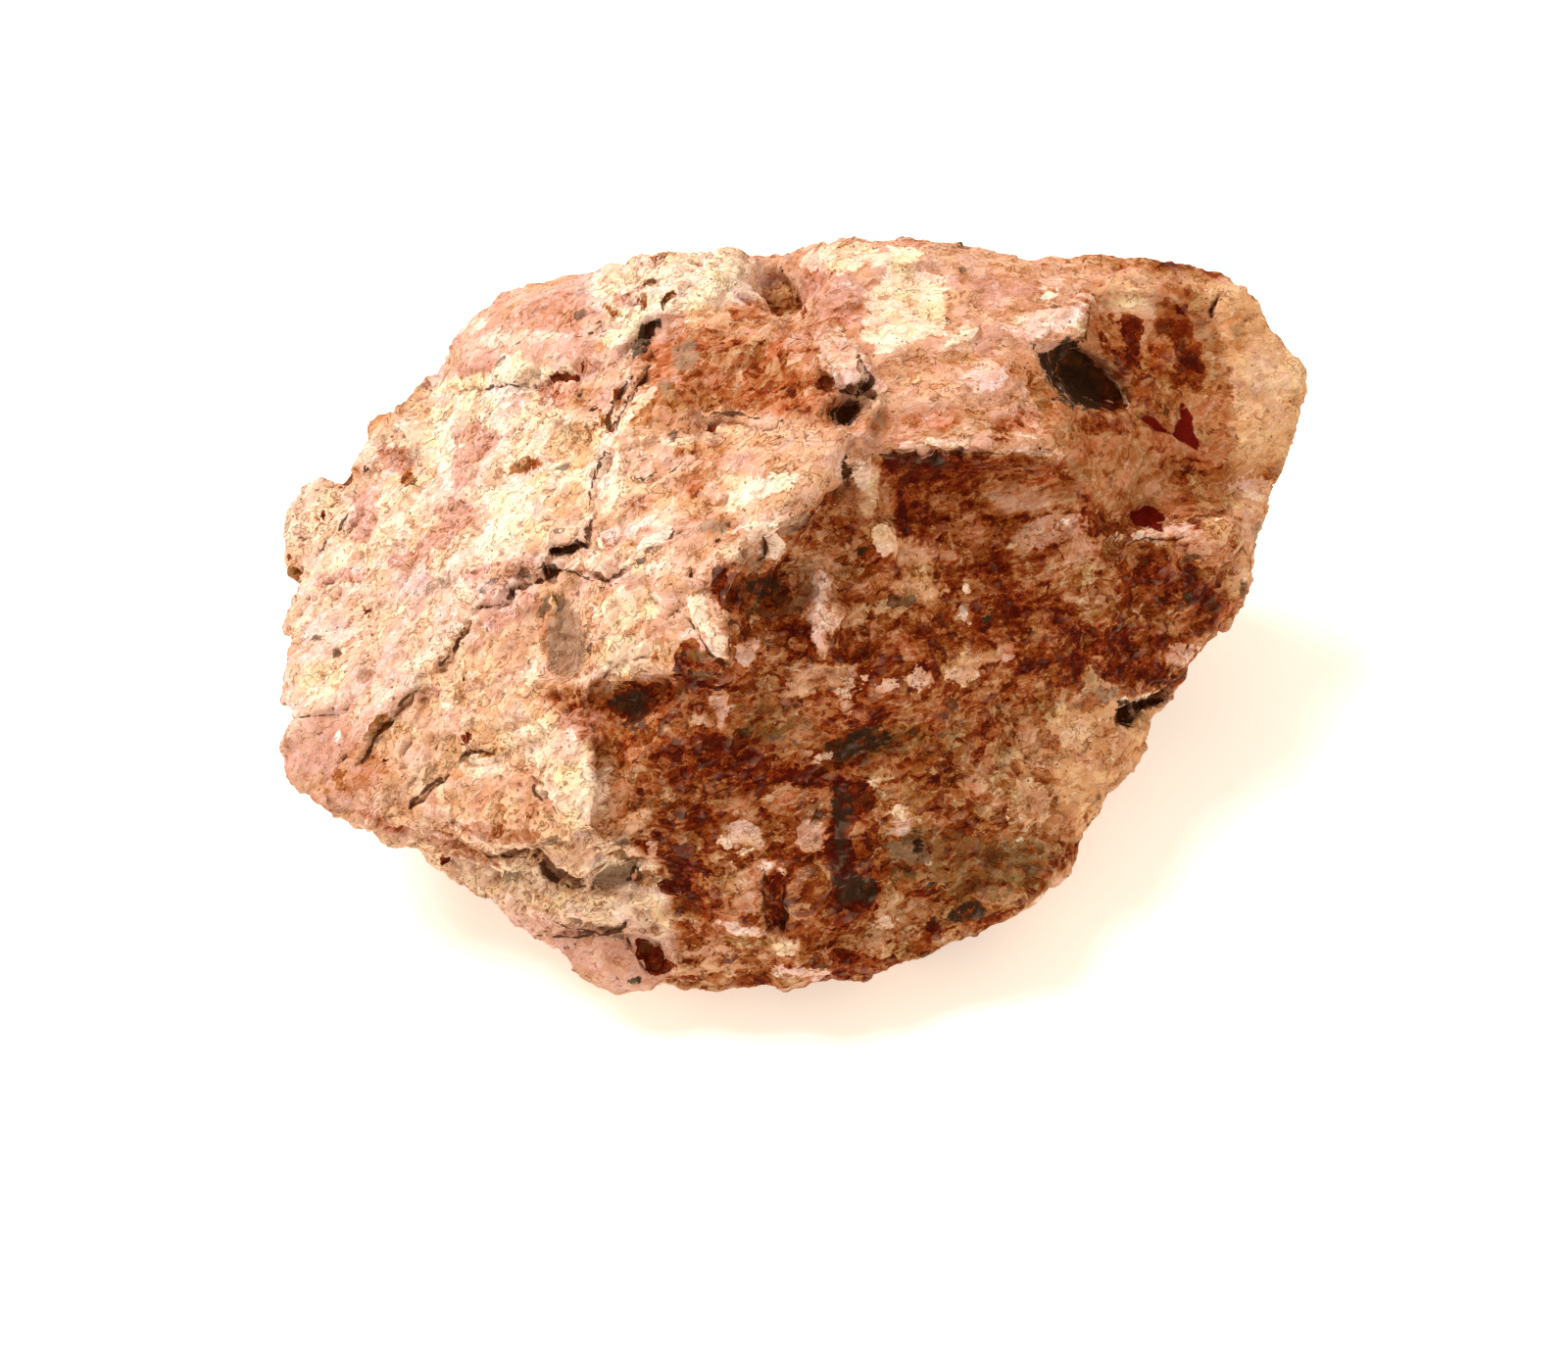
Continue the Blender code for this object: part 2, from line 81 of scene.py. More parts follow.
def numbers(cells, seed):
    """Three repeatable numbers from 0 to 1 for each cell of a grid."""
    x, y, z = (cells[..., i].astype(np.int64).astype(np.uint32) for i in range(3))
    mixed = x * np.uint32(374761393) + y * np.uint32(668265263) + z * np.uint32(2246822519)
    mixed = mixed + np.uint32(seed * 40503 + 977)
    out = []
    for turn in (1274126177, 2654435761, 3266489917):
        mixed = (mixed ^ (mixed >> np.uint32(15))) * np.uint32(turn)
        mixed = mixed ^ (mixed >> np.uint32(13))
        out.append(mixed.astype(float) / 4294967295.0)
    return np.stack(out, axis=-1)


def soft_noise(places, seed=0):
    """Smooth noise from about -1 to 1."""
    base = np.floor(places)
    part = places - base
    fade = part ** 3 * (part * (part * 6.0 - 15.0) + 10.0)
    total = np.zeros(len(places))
    for corner in itertools.product((0, 1), repeat=3):
        tilt = numbers(base + corner, seed) * 2.0 - 1.0
        weight = np.where(corner, fade, 1.0 - fade).prod(axis=1)
        total += weight * (tilt * (part - corner)).sum(axis=1)
    return total * 1.6


def rough_noise(places, octaves, seed=0):
    """Noise with finer and finer detail."""
    total = np.zeros(len(places))
    share = 1.0
    for octave in range(octaves):
        total += share * soft_noise(places * 2.03 ** octave, seed + octave)
        share *= 0.5
    return total


def three_noises(places, seed):
    """Smooth noise in three directions."""
    return np.stack([soft_noise(places, seed + 11 * i) for i in range(3)], axis=1)


def grains(places, seed):
    """For each place in a packing of grains: its grain's three numbers, and the way from its middle."""
    base = np.floor(places)
    best = np.full(len(places), 9.0)
    way = np.zeros((len(places), 3))
    cell = np.zeros((len(places), 3))
    for corner in itertools.product((-1, 0, 1), repeat=3):
        other = base + corner
        away = places - other - numbers(other, seed)
        square = (away ** 2).sum(axis=1)
        closer = square < best
        best = np.where(closer, square, best)
        way[closer] = away[closer]
        cell[closer] = other[closer]
    return numbers(cell, seed + 1), way


def flakes(places, size, seed):
    """The height of tilted flakes of about this size, from -1 to 1."""
    bent = places / size
    bent = bent + 0.22 * three_noises(bent * 1.7, seed + 40)
    number, way = grains(bent, seed)
    tilt = number * 2.0 - 1.0
    return 0.6 * tilt[:, 0] + 0.5 * (tilt * way).sum(axis=1)


def terraces(places, levels, seed):
    """Noise broken into flat steps with steep risers, as cleaved feldspar has; one step is 1 high."""
    height = rough_noise(places, 2, seed) * levels
    whole = np.floor(height)
    part = height - whole
    return whole + TREAD_RISE * part + (1.0 - TREAD_RISE) * step(1.0 - RISER, 1.0, part)


def stretched(points, direction, factor):
    """The points with the grain's direction squeezed, so that noise there comes out drawn along it."""
    along = points @ direction
    return points - np.outer(along * (1.0 - 1.0 / factor), direction)


def step(low, high, value):
    """A smooth rise from 0 to 1 between two values, or a fall where the first is the greater."""
    part = np.clip((value - low) / (high - low), 0.0, 1.0)
    return part * part * (3.0 - 2.0 * part)


# ---------------------------------------------------------------- places in the photograph

def pixels(points):
    """Where the camera sees each point, in pixels."""
    focal = PICTURE[0] * LENS / SENSOR
    ways = points - EYE
    depth = -(ways @ BACK)
    across = PICTURE[0] / 2 + focal * ways[:, 0] / depth
    down = PICTURE[1] / 2 - focal * (ways @ UP) / depth
    return np.stack([across, down], axis=1)


def seen(points, normals):
    """1 where the surface faces the camera, 0 where it turns away."""
    ways = points - EYE
    ways /= np.linalg.norm(ways, axis=1)[:, None]
    return step(SEEN_FROM, SEEN_FULLY, -(normals * ways).sum(axis=1))


def from_line(places, line):
    """The way from the nearest point of a drawn line, its length, and the value that the line has there.

    A line's points are pixels, with a third value where it has one. The length has a minus sign on the
    left of the line's run.
    """
    line = np.array(line, float)
    ways = np.full((len(places), 2), 1e9)
    distance = np.full(len(places), 1e9)
    side = np.ones(len(places))
    value = np.zeros(len(places))
    for start, end in zip(line, line[1:]):
        along = end[:2] - start[:2]
        length = np.linalg.norm(along)
        along = along / length
        offset = places - start[:2]
        reached = np.clip(offset @ along, 0.0, length)
        away = offset - reached[:, None] * along
        here = np.linalg.norm(away, axis=1)
        right = along[0] * offset[:, 1] - along[1] * offset[:, 0]
        closer = here < distance
        distance[closer] = here[closer]
        ways[closer] = away[closer]
        side[closer] = np.sign(right[closer])
        if len(start) > 2:
            value[closer] = (start[2] + (end[2] - start[2]) * reached / length)[closer]
    return ways, distance * side, value


def to_line(places, line):
    """How far each place is from a drawn line, in pixels; less than 0 on the left of its run."""
    return from_line(places, line)[1]


def in_face(places, corners):
    """How far each place is inside a drawn outline, in pixels; less than 0 outside."""
    distance = np.abs(to_line(places, list(corners) + [corners[0]]))
    inside = np.zeros(len(places), bool)
    for (x0, y0), (x1, y1) in zip(corners, list(corners[1:]) + [corners[0]]):
        crosses = (places[:, 1] < y0) != (places[:, 1] < y1)
        if y0 != y1:
            reach = x0 + (places[:, 1] - y0) * (x1 - x0) / (y1 - y0)
            inside ^= crosses & (places[:, 0] < reach)
    return np.where(inside, distance, -distance)


def inside(places, shape):
    """How far each place is inside a drawn shape, in pixels: an oval, or else a list of corners."""
    return in_oval(places, shape) if isinstance(shape, tuple) else in_face(places, shape)


def in_oval(places, oval):
    """How far each place is inside an oval, in pixels, about; less than 0 outside."""
    across, down, half_length, half_width, *tilt = oval
    turn = math.radians(tilt[0] if tilt else 0)
    du = places[:, 0] - across
    dv = down - places[:, 1]
    along = du * math.cos(turn) + dv * math.sin(turn)
    aside = dv * math.cos(turn) - du * math.sin(turn)
    return (1.0 - np.hypot(along / half_length, aside / half_width)) * min(half_length, half_width)


# ---------------------------------------------------------------- what the photograph shows

# The faces of the stone: tone (0 dark red, 1 near white), warmth (-1 mauve, 1 tan), how crumbly the face is,
# and its outline in pixels.
FACES = {
    "upper_left_plate": (0.74, -0.55, 0.5, [
        (436, 405), (444, 340), (500, 296), (570, 280), (640, 248), (735, 240), (770, 262), (757, 300),
        (668, 325), (650, 345), (590, 378), (530, 386)]),
    "speckled_end": (0.94, 0.05, 1.3, [
        (604, 290), (640, 240), (735, 236), (770, 262), (757, 300), (690, 318), (640, 330), (606, 312)]),
    "left_facet": (0.87, 0.05, 1.05, [
        (436, 400), (530, 383), (590, 378), (650, 345), (640, 410), (612, 480), (600, 560), (560, 590),
        (500, 618), (400, 610), (290, 605), (270, 546), (300, 500), (339, 470), (375, 444)]),
    "middle_top": (0.45, -0.35, 0.6, [
        (650, 345), (668, 325), (757, 300), (790, 325), (850, 340), (888, 370), (880, 400), (850, 440),
        (757, 423), (720, 422), (680, 450), (640, 430), (655, 385)]),
    "middle_plate": (0.72, 0.05, 0.8, [
        (655, 385), (640, 430), (720, 422), (815, 428), (850, 440), (880, 470), (850, 505), (800, 545),
        (720, 575), (655, 575), (600, 600), (603, 545), (612, 480)]),
    "below_middle_plate": (0.73, 0.0, 0.9, [
        (560, 590), (655, 575), (760, 565), (745, 600), (740, 690), (680, 695), (600, 702), (555, 705),
        (545, 650)]),
    "low_left": (0.82, -0.2, 0.8, [
        (280, 600), (400, 610), (500, 618), (463, 658), (444, 684), (415, 709), (370, 770), (300, 740),
        (276, 700)]),
    "tan_facet": (0.75, 0.25, 1.0, [
        (370, 770), (415, 709), (463, 658), (560, 590), (555, 705), (580, 740), (608, 765), (610, 845),
        (560, 860), (450, 840), (380, 845), (340, 830)]),
    "left_lobe": (0.66, -0.75, 0.5, [
        (270, 736), (345, 728), (380, 760), (380, 845), (340, 845), (270, 810)]),
    "undercut": (0.84, 0.35, 1.4, [
        (340, 830), (450, 840), (560, 860), (610, 845), (680, 880), (690, 960), (640, 960), (560, 980),
        (470, 925), (390, 875)]),
    "toe": (0.69, -0.75, 0.5, [(520, 935), (640, 955), (690, 960), (655, 1030), (600, 1030), (545, 985)]),
    "dark_front": (0.35, 0.1, 0.9, [
        (555, 705), (680, 695), (740, 690), (745, 600), (760, 565), (830, 515), (870, 485), (890, 560),
        (900, 640), (880, 740), (900, 830), (910, 1000), (860, 1020), (780, 1020), (690, 1000),
        (690, 960), (680, 880), (610, 845), (608, 765), (580, 740)]),
    "silky_face": (0.31, 0.08, 0.5, [
        (905, 462), (1080, 462), (1130, 520), (1130, 600), (1100, 700), (960, 740), (880, 740),
        (900, 640), (890, 560), (870, 485)]),
    "right_plate": (0.64, -0.1, 0.65, [
        (762, 262), (790, 240), (940, 225), (1110, 240), (1110, 310), (1100, 350), (1060, 400),
        (1080, 462), (905, 462), (850, 440), (888, 370), (850, 340), (790, 325)]),
    "top_rim": (0.54, -0.1, 0.5, [
        (1100, 240), (1230, 250), (1290, 290), (1230, 300), (1150, 290), (1110, 290)]),
    "basin": (0.45, 0.1, 0.35, [
        (1110, 290), (1230, 300), (1260, 380), (1270, 480), (1250, 530), (1130, 520), (1080, 462),
        (1060, 400), (1100, 350)]),
    "right_end": (0.67, 1.3, 0.5, [
        (1230, 290), (1290, 280), (1350, 400), (1330, 480), (1310, 570), (1262, 640), (1262, 480),
        (1260, 380)]),
    "knob": (0.35, 0.15, 0.9, [
        (1130, 530), (1262, 530), (1275, 620), (1220, 700), (1150, 710), (1100, 640)]),
    "foot": (0.65, 1.5, 0.8, [(1080, 720), (1180, 720), (1170, 800), (1110, 870), (1070, 800)]),
    "lower_right": (0.38, 0.35, 1.0, [
        (880, 740), (960, 740), (1100, 700), (1080, 720), (1070, 800), (1105, 870), (1010, 960),
        (900, 1000), (900, 830)]),
}

# The stone's colours by name: tone and warmth.
COLOURS = {
    "white": (1.02, 0.10),
    "cream": (0.92, 0.35),
    "pale_pink": (0.84, -0.45),
    "rose": (0.65, -0.80),
    "mauve": (0.60, -0.95),
    "salmon": (0.62, 0.05),
    "orange": (0.60, 0.55),
    "tan": (0.70, 0.60),
    "grey_tan": (0.56, -0.20),
    "red_brown": (0.45, 0.00),
    "brown": (0.36, 0.60),
    "dark_red": (0.24, -0.10),
    "maroon": (0.10, -0.20),
}

# Patches of each colour, laid in this order. An outline is a list of corners. An oval has its middle
# across and down, half length and half width, and where it doesn't lie level a tilt in degrees, which is
# above 0 where the patch rises to the right. All in pixels.
PATCHES = [
    ("mauve", [
        [(528, 312), (545, 302), (582, 296), (600, 312), (596, 336), (570, 340), (540, 336), (530, 326)],
        [(464, 372), (480, 366), (506, 364), (500, 384), (478, 390), (466, 386)],
        [(547, 392), (562, 388), (576, 396), (577, 418), (566, 419), (560, 406), (552, 412)],
        [(822, 275), (840, 266), (862, 276), (882, 292), (880, 335), (846, 330), (830, 310), (823, 300)],
        (976, 286, 12, 8), (1034, 290, 44, 12, 8), (372, 688, 13, 6), (390, 838, 28, 7, -25),
        (330, 750, 12, 9, 45), (720, 600, 6, 10), (405, 470, 14, 20, 60)]),
    ("rose", [
        (598, 320, 12, 12), (596, 362, 18, 20, 30), (640, 307, 14, 8),
        [(462, 440), (486, 428), (506, 444), (512, 458), (492, 470), (478, 496), (462, 500), (458, 470)],
        [(360, 505), (376, 497), (394, 500), (386, 530), (376, 560), (362, 556), (357, 530)],
        [(438, 522), (460, 508), (492, 517), (486, 530), (464, 548), (455, 562), (424, 562), (448, 530)],
        [(484, 626), (497, 606), (520, 600), (548, 604), (556, 614), (532, 634), (500, 642)],
        [(470, 584), (500, 573), (541, 570), (556, 574), (545, 588), (518, 591), (519, 607), (486, 622)],
        (420, 572, 24, 9, 10), (352, 590, 30, 7, 10), (706, 500, 12, 20, 10), (625, 549, 16, 8, 20),
        (652, 512, 14, 5, 20), (310, 760, 18, 16, 30), (437, 708, 14, 9), (620, 985, 34, 16, -30),
        (600, 960, 40, 8, -20), (1034, 426, 30, 12, 8), (960, 420, 26, 12, 10), (820, 350, 24, 10, 20),
        (940, 383, 24, 9, 10), (597, 737, 26, 16, -20), (1071, 542, 40, 16, 15)]),
    ("salmon", [
        (670, 425, 22, 14, 20), (757, 345, 40, 10), (962, 383, 40, 16, 12), (552, 290, 34, 5, 6),
        [(298, 790), (330, 784), (336, 808), (322, 816), (302, 802)],
        [(604, 780), (620, 784), (618, 836), (630, 852), (612, 858), (605, 840)],
        [(1048, 306), (1100, 306), (1109, 314), (1104, 340), (1090, 348), (1052, 348), (1020, 346)],
        [(1010, 262), (1100, 258), (1160, 264), (1220, 276), (1235, 290), (1180, 294), (1120, 284),
         (1060, 290), (1010, 292)],
        (1278, 520, 12, 40), (1230, 560, 30, 20),
        [(742, 884), (776, 880), (778, 934), (756, 936), (738, 928), (735, 900)], (640, 842, 26, 10, 30),
        (675, 398, 20, 10, 20),
        [(655, 362), (663, 372), (656, 388), (641, 405), (630, 421), (624, 417), (636, 398),
         (648, 380)]]),
    ("orange", [
        [(700, 335), (702, 318), (720, 310), (745, 310), (752, 322), (740, 337)], (1125, 760, 34, 26, 40),
        (660, 438, 20, 12, 40), (1245, 540, 22, 12), (899, 972, 14, 7)]),
    ("tan", [
        (583, 455, 28, 26, 50), (580, 510, 24, 18), (517, 735, 34, 24, 20), (474, 815, 34, 10, 10),
        (1285, 390, 30, 50), (998, 673, 40, 9, 15), (1050, 820, 22, 24, 40), (1093, 745, 24, 14),
        (840, 690, 34, 14), (820, 700, 26, 10, 15), (935, 600, 26, 14), (885, 490, 10, 24),
        (720, 990, 40, 6, 4), (1140, 300, 26, 12), (930, 565, 16, 22, 60), (680, 665, 24, 16)]),
    ("grey_tan", [
        [(548, 640), (560, 620), (598, 625), (598, 660), (592, 690), (575, 697), (560, 690), (552, 655)],
        (372, 770, 16, 12), (360, 800, 18, 12), (500, 850, 60, 8, -6), (730, 972, 34, 6),
        (470, 868, 40, 8, -20), (1040, 378, 24, 16), (895, 430, 14, 20), (1100, 560, 20, 16)]),
    ("cream", [
        (666, 268, 26, 9), (618, 290, 14, 8, 20), (633, 345, 26, 8, 15), (470, 392, 40, 7, 18),
        (448, 433, 20, 20, 40), (392, 520, 8, 24, -8), (524, 463, 22, 10, 25), (560, 490, 22, 16, 50),
        (550, 543, 18, 14), (330, 530, 22, 16, 40), (345, 570, 34, 10, 20), (680, 520, 34, 14, 20),
        (740, 506, 34, 18, 10), (690, 450, 16, 8), (860, 262, 40, 14, 10), (915, 262, 28, 10, 10),
        [(886, 300), (910, 272), (960, 280), (966, 340), (930, 350), (892, 362), (880, 344)],
        (640, 620, 34, 20, 10), (640, 668, 30, 24, 10), (545, 760, 30, 22), (490, 780, 24, 12),
        [(556, 770), (580, 745), (602, 760), (604, 836), (592, 848), (562, 822), (548, 806)],
        (904, 550, 12, 18), (802, 968, 14, 8), (540, 690, 10, 16), (668, 900, 8, 34, 8),
        (600, 925, 34, 6, 4), (430, 700, 10, 6), (330, 690, 24, 24), (720, 445, 34, 5, 10)]),
    ("pale_pink", [
        (516, 345, 46, 8, 6), (480, 335, 16, 6, 30), (522, 402, 22, 12), (330, 650, 30, 20, 10),
        (432, 592, 30, 14), (1071, 328, 40, 14, 15), (1005, 383, 20, 16, 10), (640, 540, 30, 6, 10),
        [(836, 352), (852, 340), (876, 354), (888, 374), (884, 394), (862, 397), (846, 384), (836, 368)],
        (1000, 448, 46, 7, 4), (1053, 460, 26, 4, -3), (933, 455, 26, 5, 3), (1191, 543, 40, 7, 6),
        [(827, 582), (837, 580), (848, 592), (849, 604), (841, 613), (857, 626), (855, 640), (842, 647),
         (844, 668), (836, 672), (830, 655), (828, 632), (833, 618), (827, 600)],
        [(752, 654), (772, 650), (778, 662), (770, 676), (758, 682), (750, 668)],
        [(741, 840), (764, 838), (776, 842), (776, 866), (748, 868), (741, 860)],
        [(812, 846), (826, 836), (842, 842), (847, 872), (826, 870), (814, 862)],
        [(914, 818), (924, 816), (931, 838), (923, 860), (915, 856)], (870, 690, 5, 14),
        (862, 720, 6, 14, 20), (900, 700, 16, 7, 10), (938, 690, 12, 14), (978, 688, 20, 8, 10),
        (1024, 666, 14, 8, 30), (898, 942, 12, 7), (820, 992, 34, 6, -4), (735, 720, 8, 20),
        (715, 735, 12, 8), (1280, 500, 10, 24, 80), (700, 470, 10, 24, 80), (880, 484, 9, 18),
        (1205, 668, 14, 10, 20), (760, 950, 30, 5, -14)]),
    ("white", [
        [(722, 274), (748, 262), (760, 298), (752, 305), (730, 306)],
        [(664, 308), (690, 302), (754, 302), (756, 310), (722, 312), (700, 318), (670, 322)],
        [(512, 362), (530, 360), (531, 372), (548, 374), (549, 380), (520, 387), (498, 388), (508, 372)],
        [(664, 394), (672, 399), (650, 422), (630, 447), (612, 472), (603, 490), (606, 466), (624, 440)],
        [(578, 582), (596, 562), (612, 545), (614, 556), (602, 576)],
        [(440, 470), (442, 430), (452, 412), (462, 424), (462, 474), (450, 482)],
        [(486, 500), (540, 492), (560, 502), (545, 520), (520, 560), (500, 574), (486, 566), (500, 524)],
        [(962, 353), (972, 340), (998, 330), (1001, 336), (985, 349), (968, 356)],
        [(1060, 306), (1072, 294), (1084, 291), (1082, 300), (1068, 308)],
        [(702, 604), (716, 612), (734, 640), (744, 670), (734, 680), (722, 660), (704, 634)],
        (645, 277, 9, 5), (488, 331, 8, 5, 10), (779, 497, 34, 11, 12), (660, 552, 22, 4, 20),
        (655, 310, 6, 8), (665, 298, 10, 4), (708, 302, 22, 4), (558, 425, 16, 4, 20), (459, 719, 8, 4),
        (596, 806, 7, 28), (345, 750, 4, 6), (918, 828, 6, 12), (871, 285, 2.5, 2.5),
        (1184, 522, 3.5, 2.5), (1085, 527, 7, 2.5, -45), (945, 880, 3, 3), (1190, 547, 8, 3, 20),
        (1098, 334, 9, 4, 20), (870, 272, 16, 5, 20), (905, 285, 10, 6), (757, 872, 6, 2.5),
        (738, 860, 5, 6), (781, 884, 7, 6), (797, 890, 5, 3), (1007, 903, 7, 10, 20), (984, 915, 5, 5),
        (1027, 834, 3, 7, -10), (1041, 858, 4.5, 5), (893, 797, 4, 4), (985, 626, 5, 10, 15),
        (987, 598, 3, 12, 20), (845, 772, 10, 6, 30), (833, 775, 4, 8), (1170, 711, 20, 3, 12),
        (770, 540, 26, 4, 5), (790, 560, 12, 14), (716, 738, 3, 5), (884, 692, 3, 7, -20),
        (610, 500, 5, 16, 10), (632, 470, 4, 16, 15)]),
    ("red_brown", [
        (700, 410, 18, 10), (760, 385, 34, 16), (1198, 466, 40, 24), (880, 595, 34, 16, 20),
        (905, 620, 34, 12, 20), (640, 740, 26, 14), (1049, 640, 40, 14, 12), (809, 815, 34, 14, 10),
        (800, 735, 40, 10, 10), (985, 555, 40, 16, 10), (1180, 250, 30, 4),
        [(796, 580), (815, 558), (826, 548), (828, 622), (806, 626), (806, 600)]]),
    # The brown, dark red and maroon patches are partly the stone's colour and partly painted shade: in the
    # top hollow, the front cave and the basin's recesses, under the pit and under the ledge over the silky
    # face.
    ("brown", [
        (676, 260, 9, 3), (416, 490, 8, 10), (536, 477, 18, 7, 15), (503, 768, 12, 5, 20),
        (300, 582, 12, 6, -50), (345, 795, 7, 12), (565, 612, 4, 8), (571, 636, 5, 11), (590, 668, 4, 10),
        (662, 895, 14, 7, 20), (772, 745, 34, 12, 10), (617, 430, 6, 14, 30),
        [(775, 297), (790, 290), (810, 290), (816, 305), (812, 322), (800, 328), (790, 322), (782, 312)],
        [(975, 880), (1000, 870), (1040, 880), (1080, 865), (1088, 872), (1060, 910), (1030, 930),
         (985, 943), (950, 930), (960, 900)],
        (660, 288, 7, 3, 10), (657, 308, 4, 6), (683, 303, 8, 4, 30), (624, 316, 7, 5, -20),
        (868, 960, 24, 8), (385, 742, 16, 7, 40), (770, 385, 7, 6), (1060, 400, 10, 24, 30)]),
    ("dark_red", [
        (930, 500, 26, 30), (980, 480, 44, 10), (785, 640, 34, 12), (870, 665, 24, 14),
        (700, 770, 50, 26), (706, 830, 26, 16), (1160, 585, 40, 16), (1110, 650, 60, 14, -20),
        (1150, 682, 40, 14), (1040, 615, 34, 12), (720, 920, 20, 16), (900, 730, 20, 14),
        [(1178, 310), (1192, 302), (1211, 310), (1216, 330), (1224, 352), (1229, 378), (1212, 382),
         (1203, 362), (1193, 347), (1180, 335)],
        [(1104, 420), (1128, 421), (1146, 424), (1144, 438), (1120, 441), (1106, 434)],
        (1120, 430, 22, 10, 10), (850, 745, 26, 12, 20), (770, 790, 34, 14), (860, 540, 20, 14, 40),
        (745, 600, 16, 26), (870, 610, 14, 10), (1240, 620, 20, 20)]),
    ("maroon", [
        [(560, 387), (572, 379), (582, 382), (597, 378), (589, 388), (570, 391)],
        [(746, 602), (760, 592), (785, 580), (800, 584), (806, 600), (800, 618), (780, 624), (750, 626)],
        [(696, 657), (712, 655), (725, 670), (740, 684), (742, 702), (700, 706), (684, 690)],
        [(614, 722), (625, 706), (640, 699), (688, 697), (696, 702), (684, 714), (660, 730), (640, 738)],
        [(897, 464), (925, 462), (975, 460), (985, 474), (950, 492), (925, 490), (905, 484)],
        [(912, 505), (922, 500), (930, 540), (924, 548), (914, 530)],
        [(724, 582), (735, 575), (745, 590), (743, 622), (735, 620), (728, 600)],
        [(646, 958), (672, 966), (690, 986), (668, 996), (658, 988), (650, 972)],
        [(850, 790), (886, 795), (896, 812), (880, 830), (868, 850), (874, 890), (898, 905), (892, 928),
         (860, 924), (846, 905), (842, 880), (850, 850), (846, 830), (852, 815)],
        [(744, 768), (770, 764), (790, 785), (830, 782), (856, 792), (848, 804), (800, 798), (770, 800),
         (746, 792)],
        [(1126, 321), (1140, 326), (1150, 322), (1164, 324), (1167, 345), (1162, 360), (1164, 377),
         (1154, 372), (1148, 350), (1146, 334), (1132, 332)],
        [(1120, 340), (1130, 350), (1152, 374), (1146, 372), (1128, 357)],
        [(1098, 356), (1118, 375), (1132, 388), (1147, 402), (1154, 416), (1140, 420), (1116, 417),
         (1096, 402)],
        (698, 887, 20, 14), (793, 918, 11, 28), (735, 677, 8, 4, -20), (862, 650, 12, 9, 20),
        (815, 645, 14, 9), (867, 545, 4, 10), (843, 393, 9, 7), (475, 757, 5, 4), (456, 877, 6, 5),
        (954, 948, 8, 10), (330, 524, 3, 3), (375, 624, 3, 3), (722, 440, 7, 3, 20), (690, 338, 3, 4),
        (863, 975, 18, 8), (1150, 655, 8, 16), (1180, 688, 14, 12), (1105, 505, 4, 5), (1215, 480, 9, 4),
        (690, 905, 16, 8), (818, 314, 5, 6), (630, 950, 4, 3), (393, 776, 5, 4), (1015, 580, 14, 6, 10)]),
]
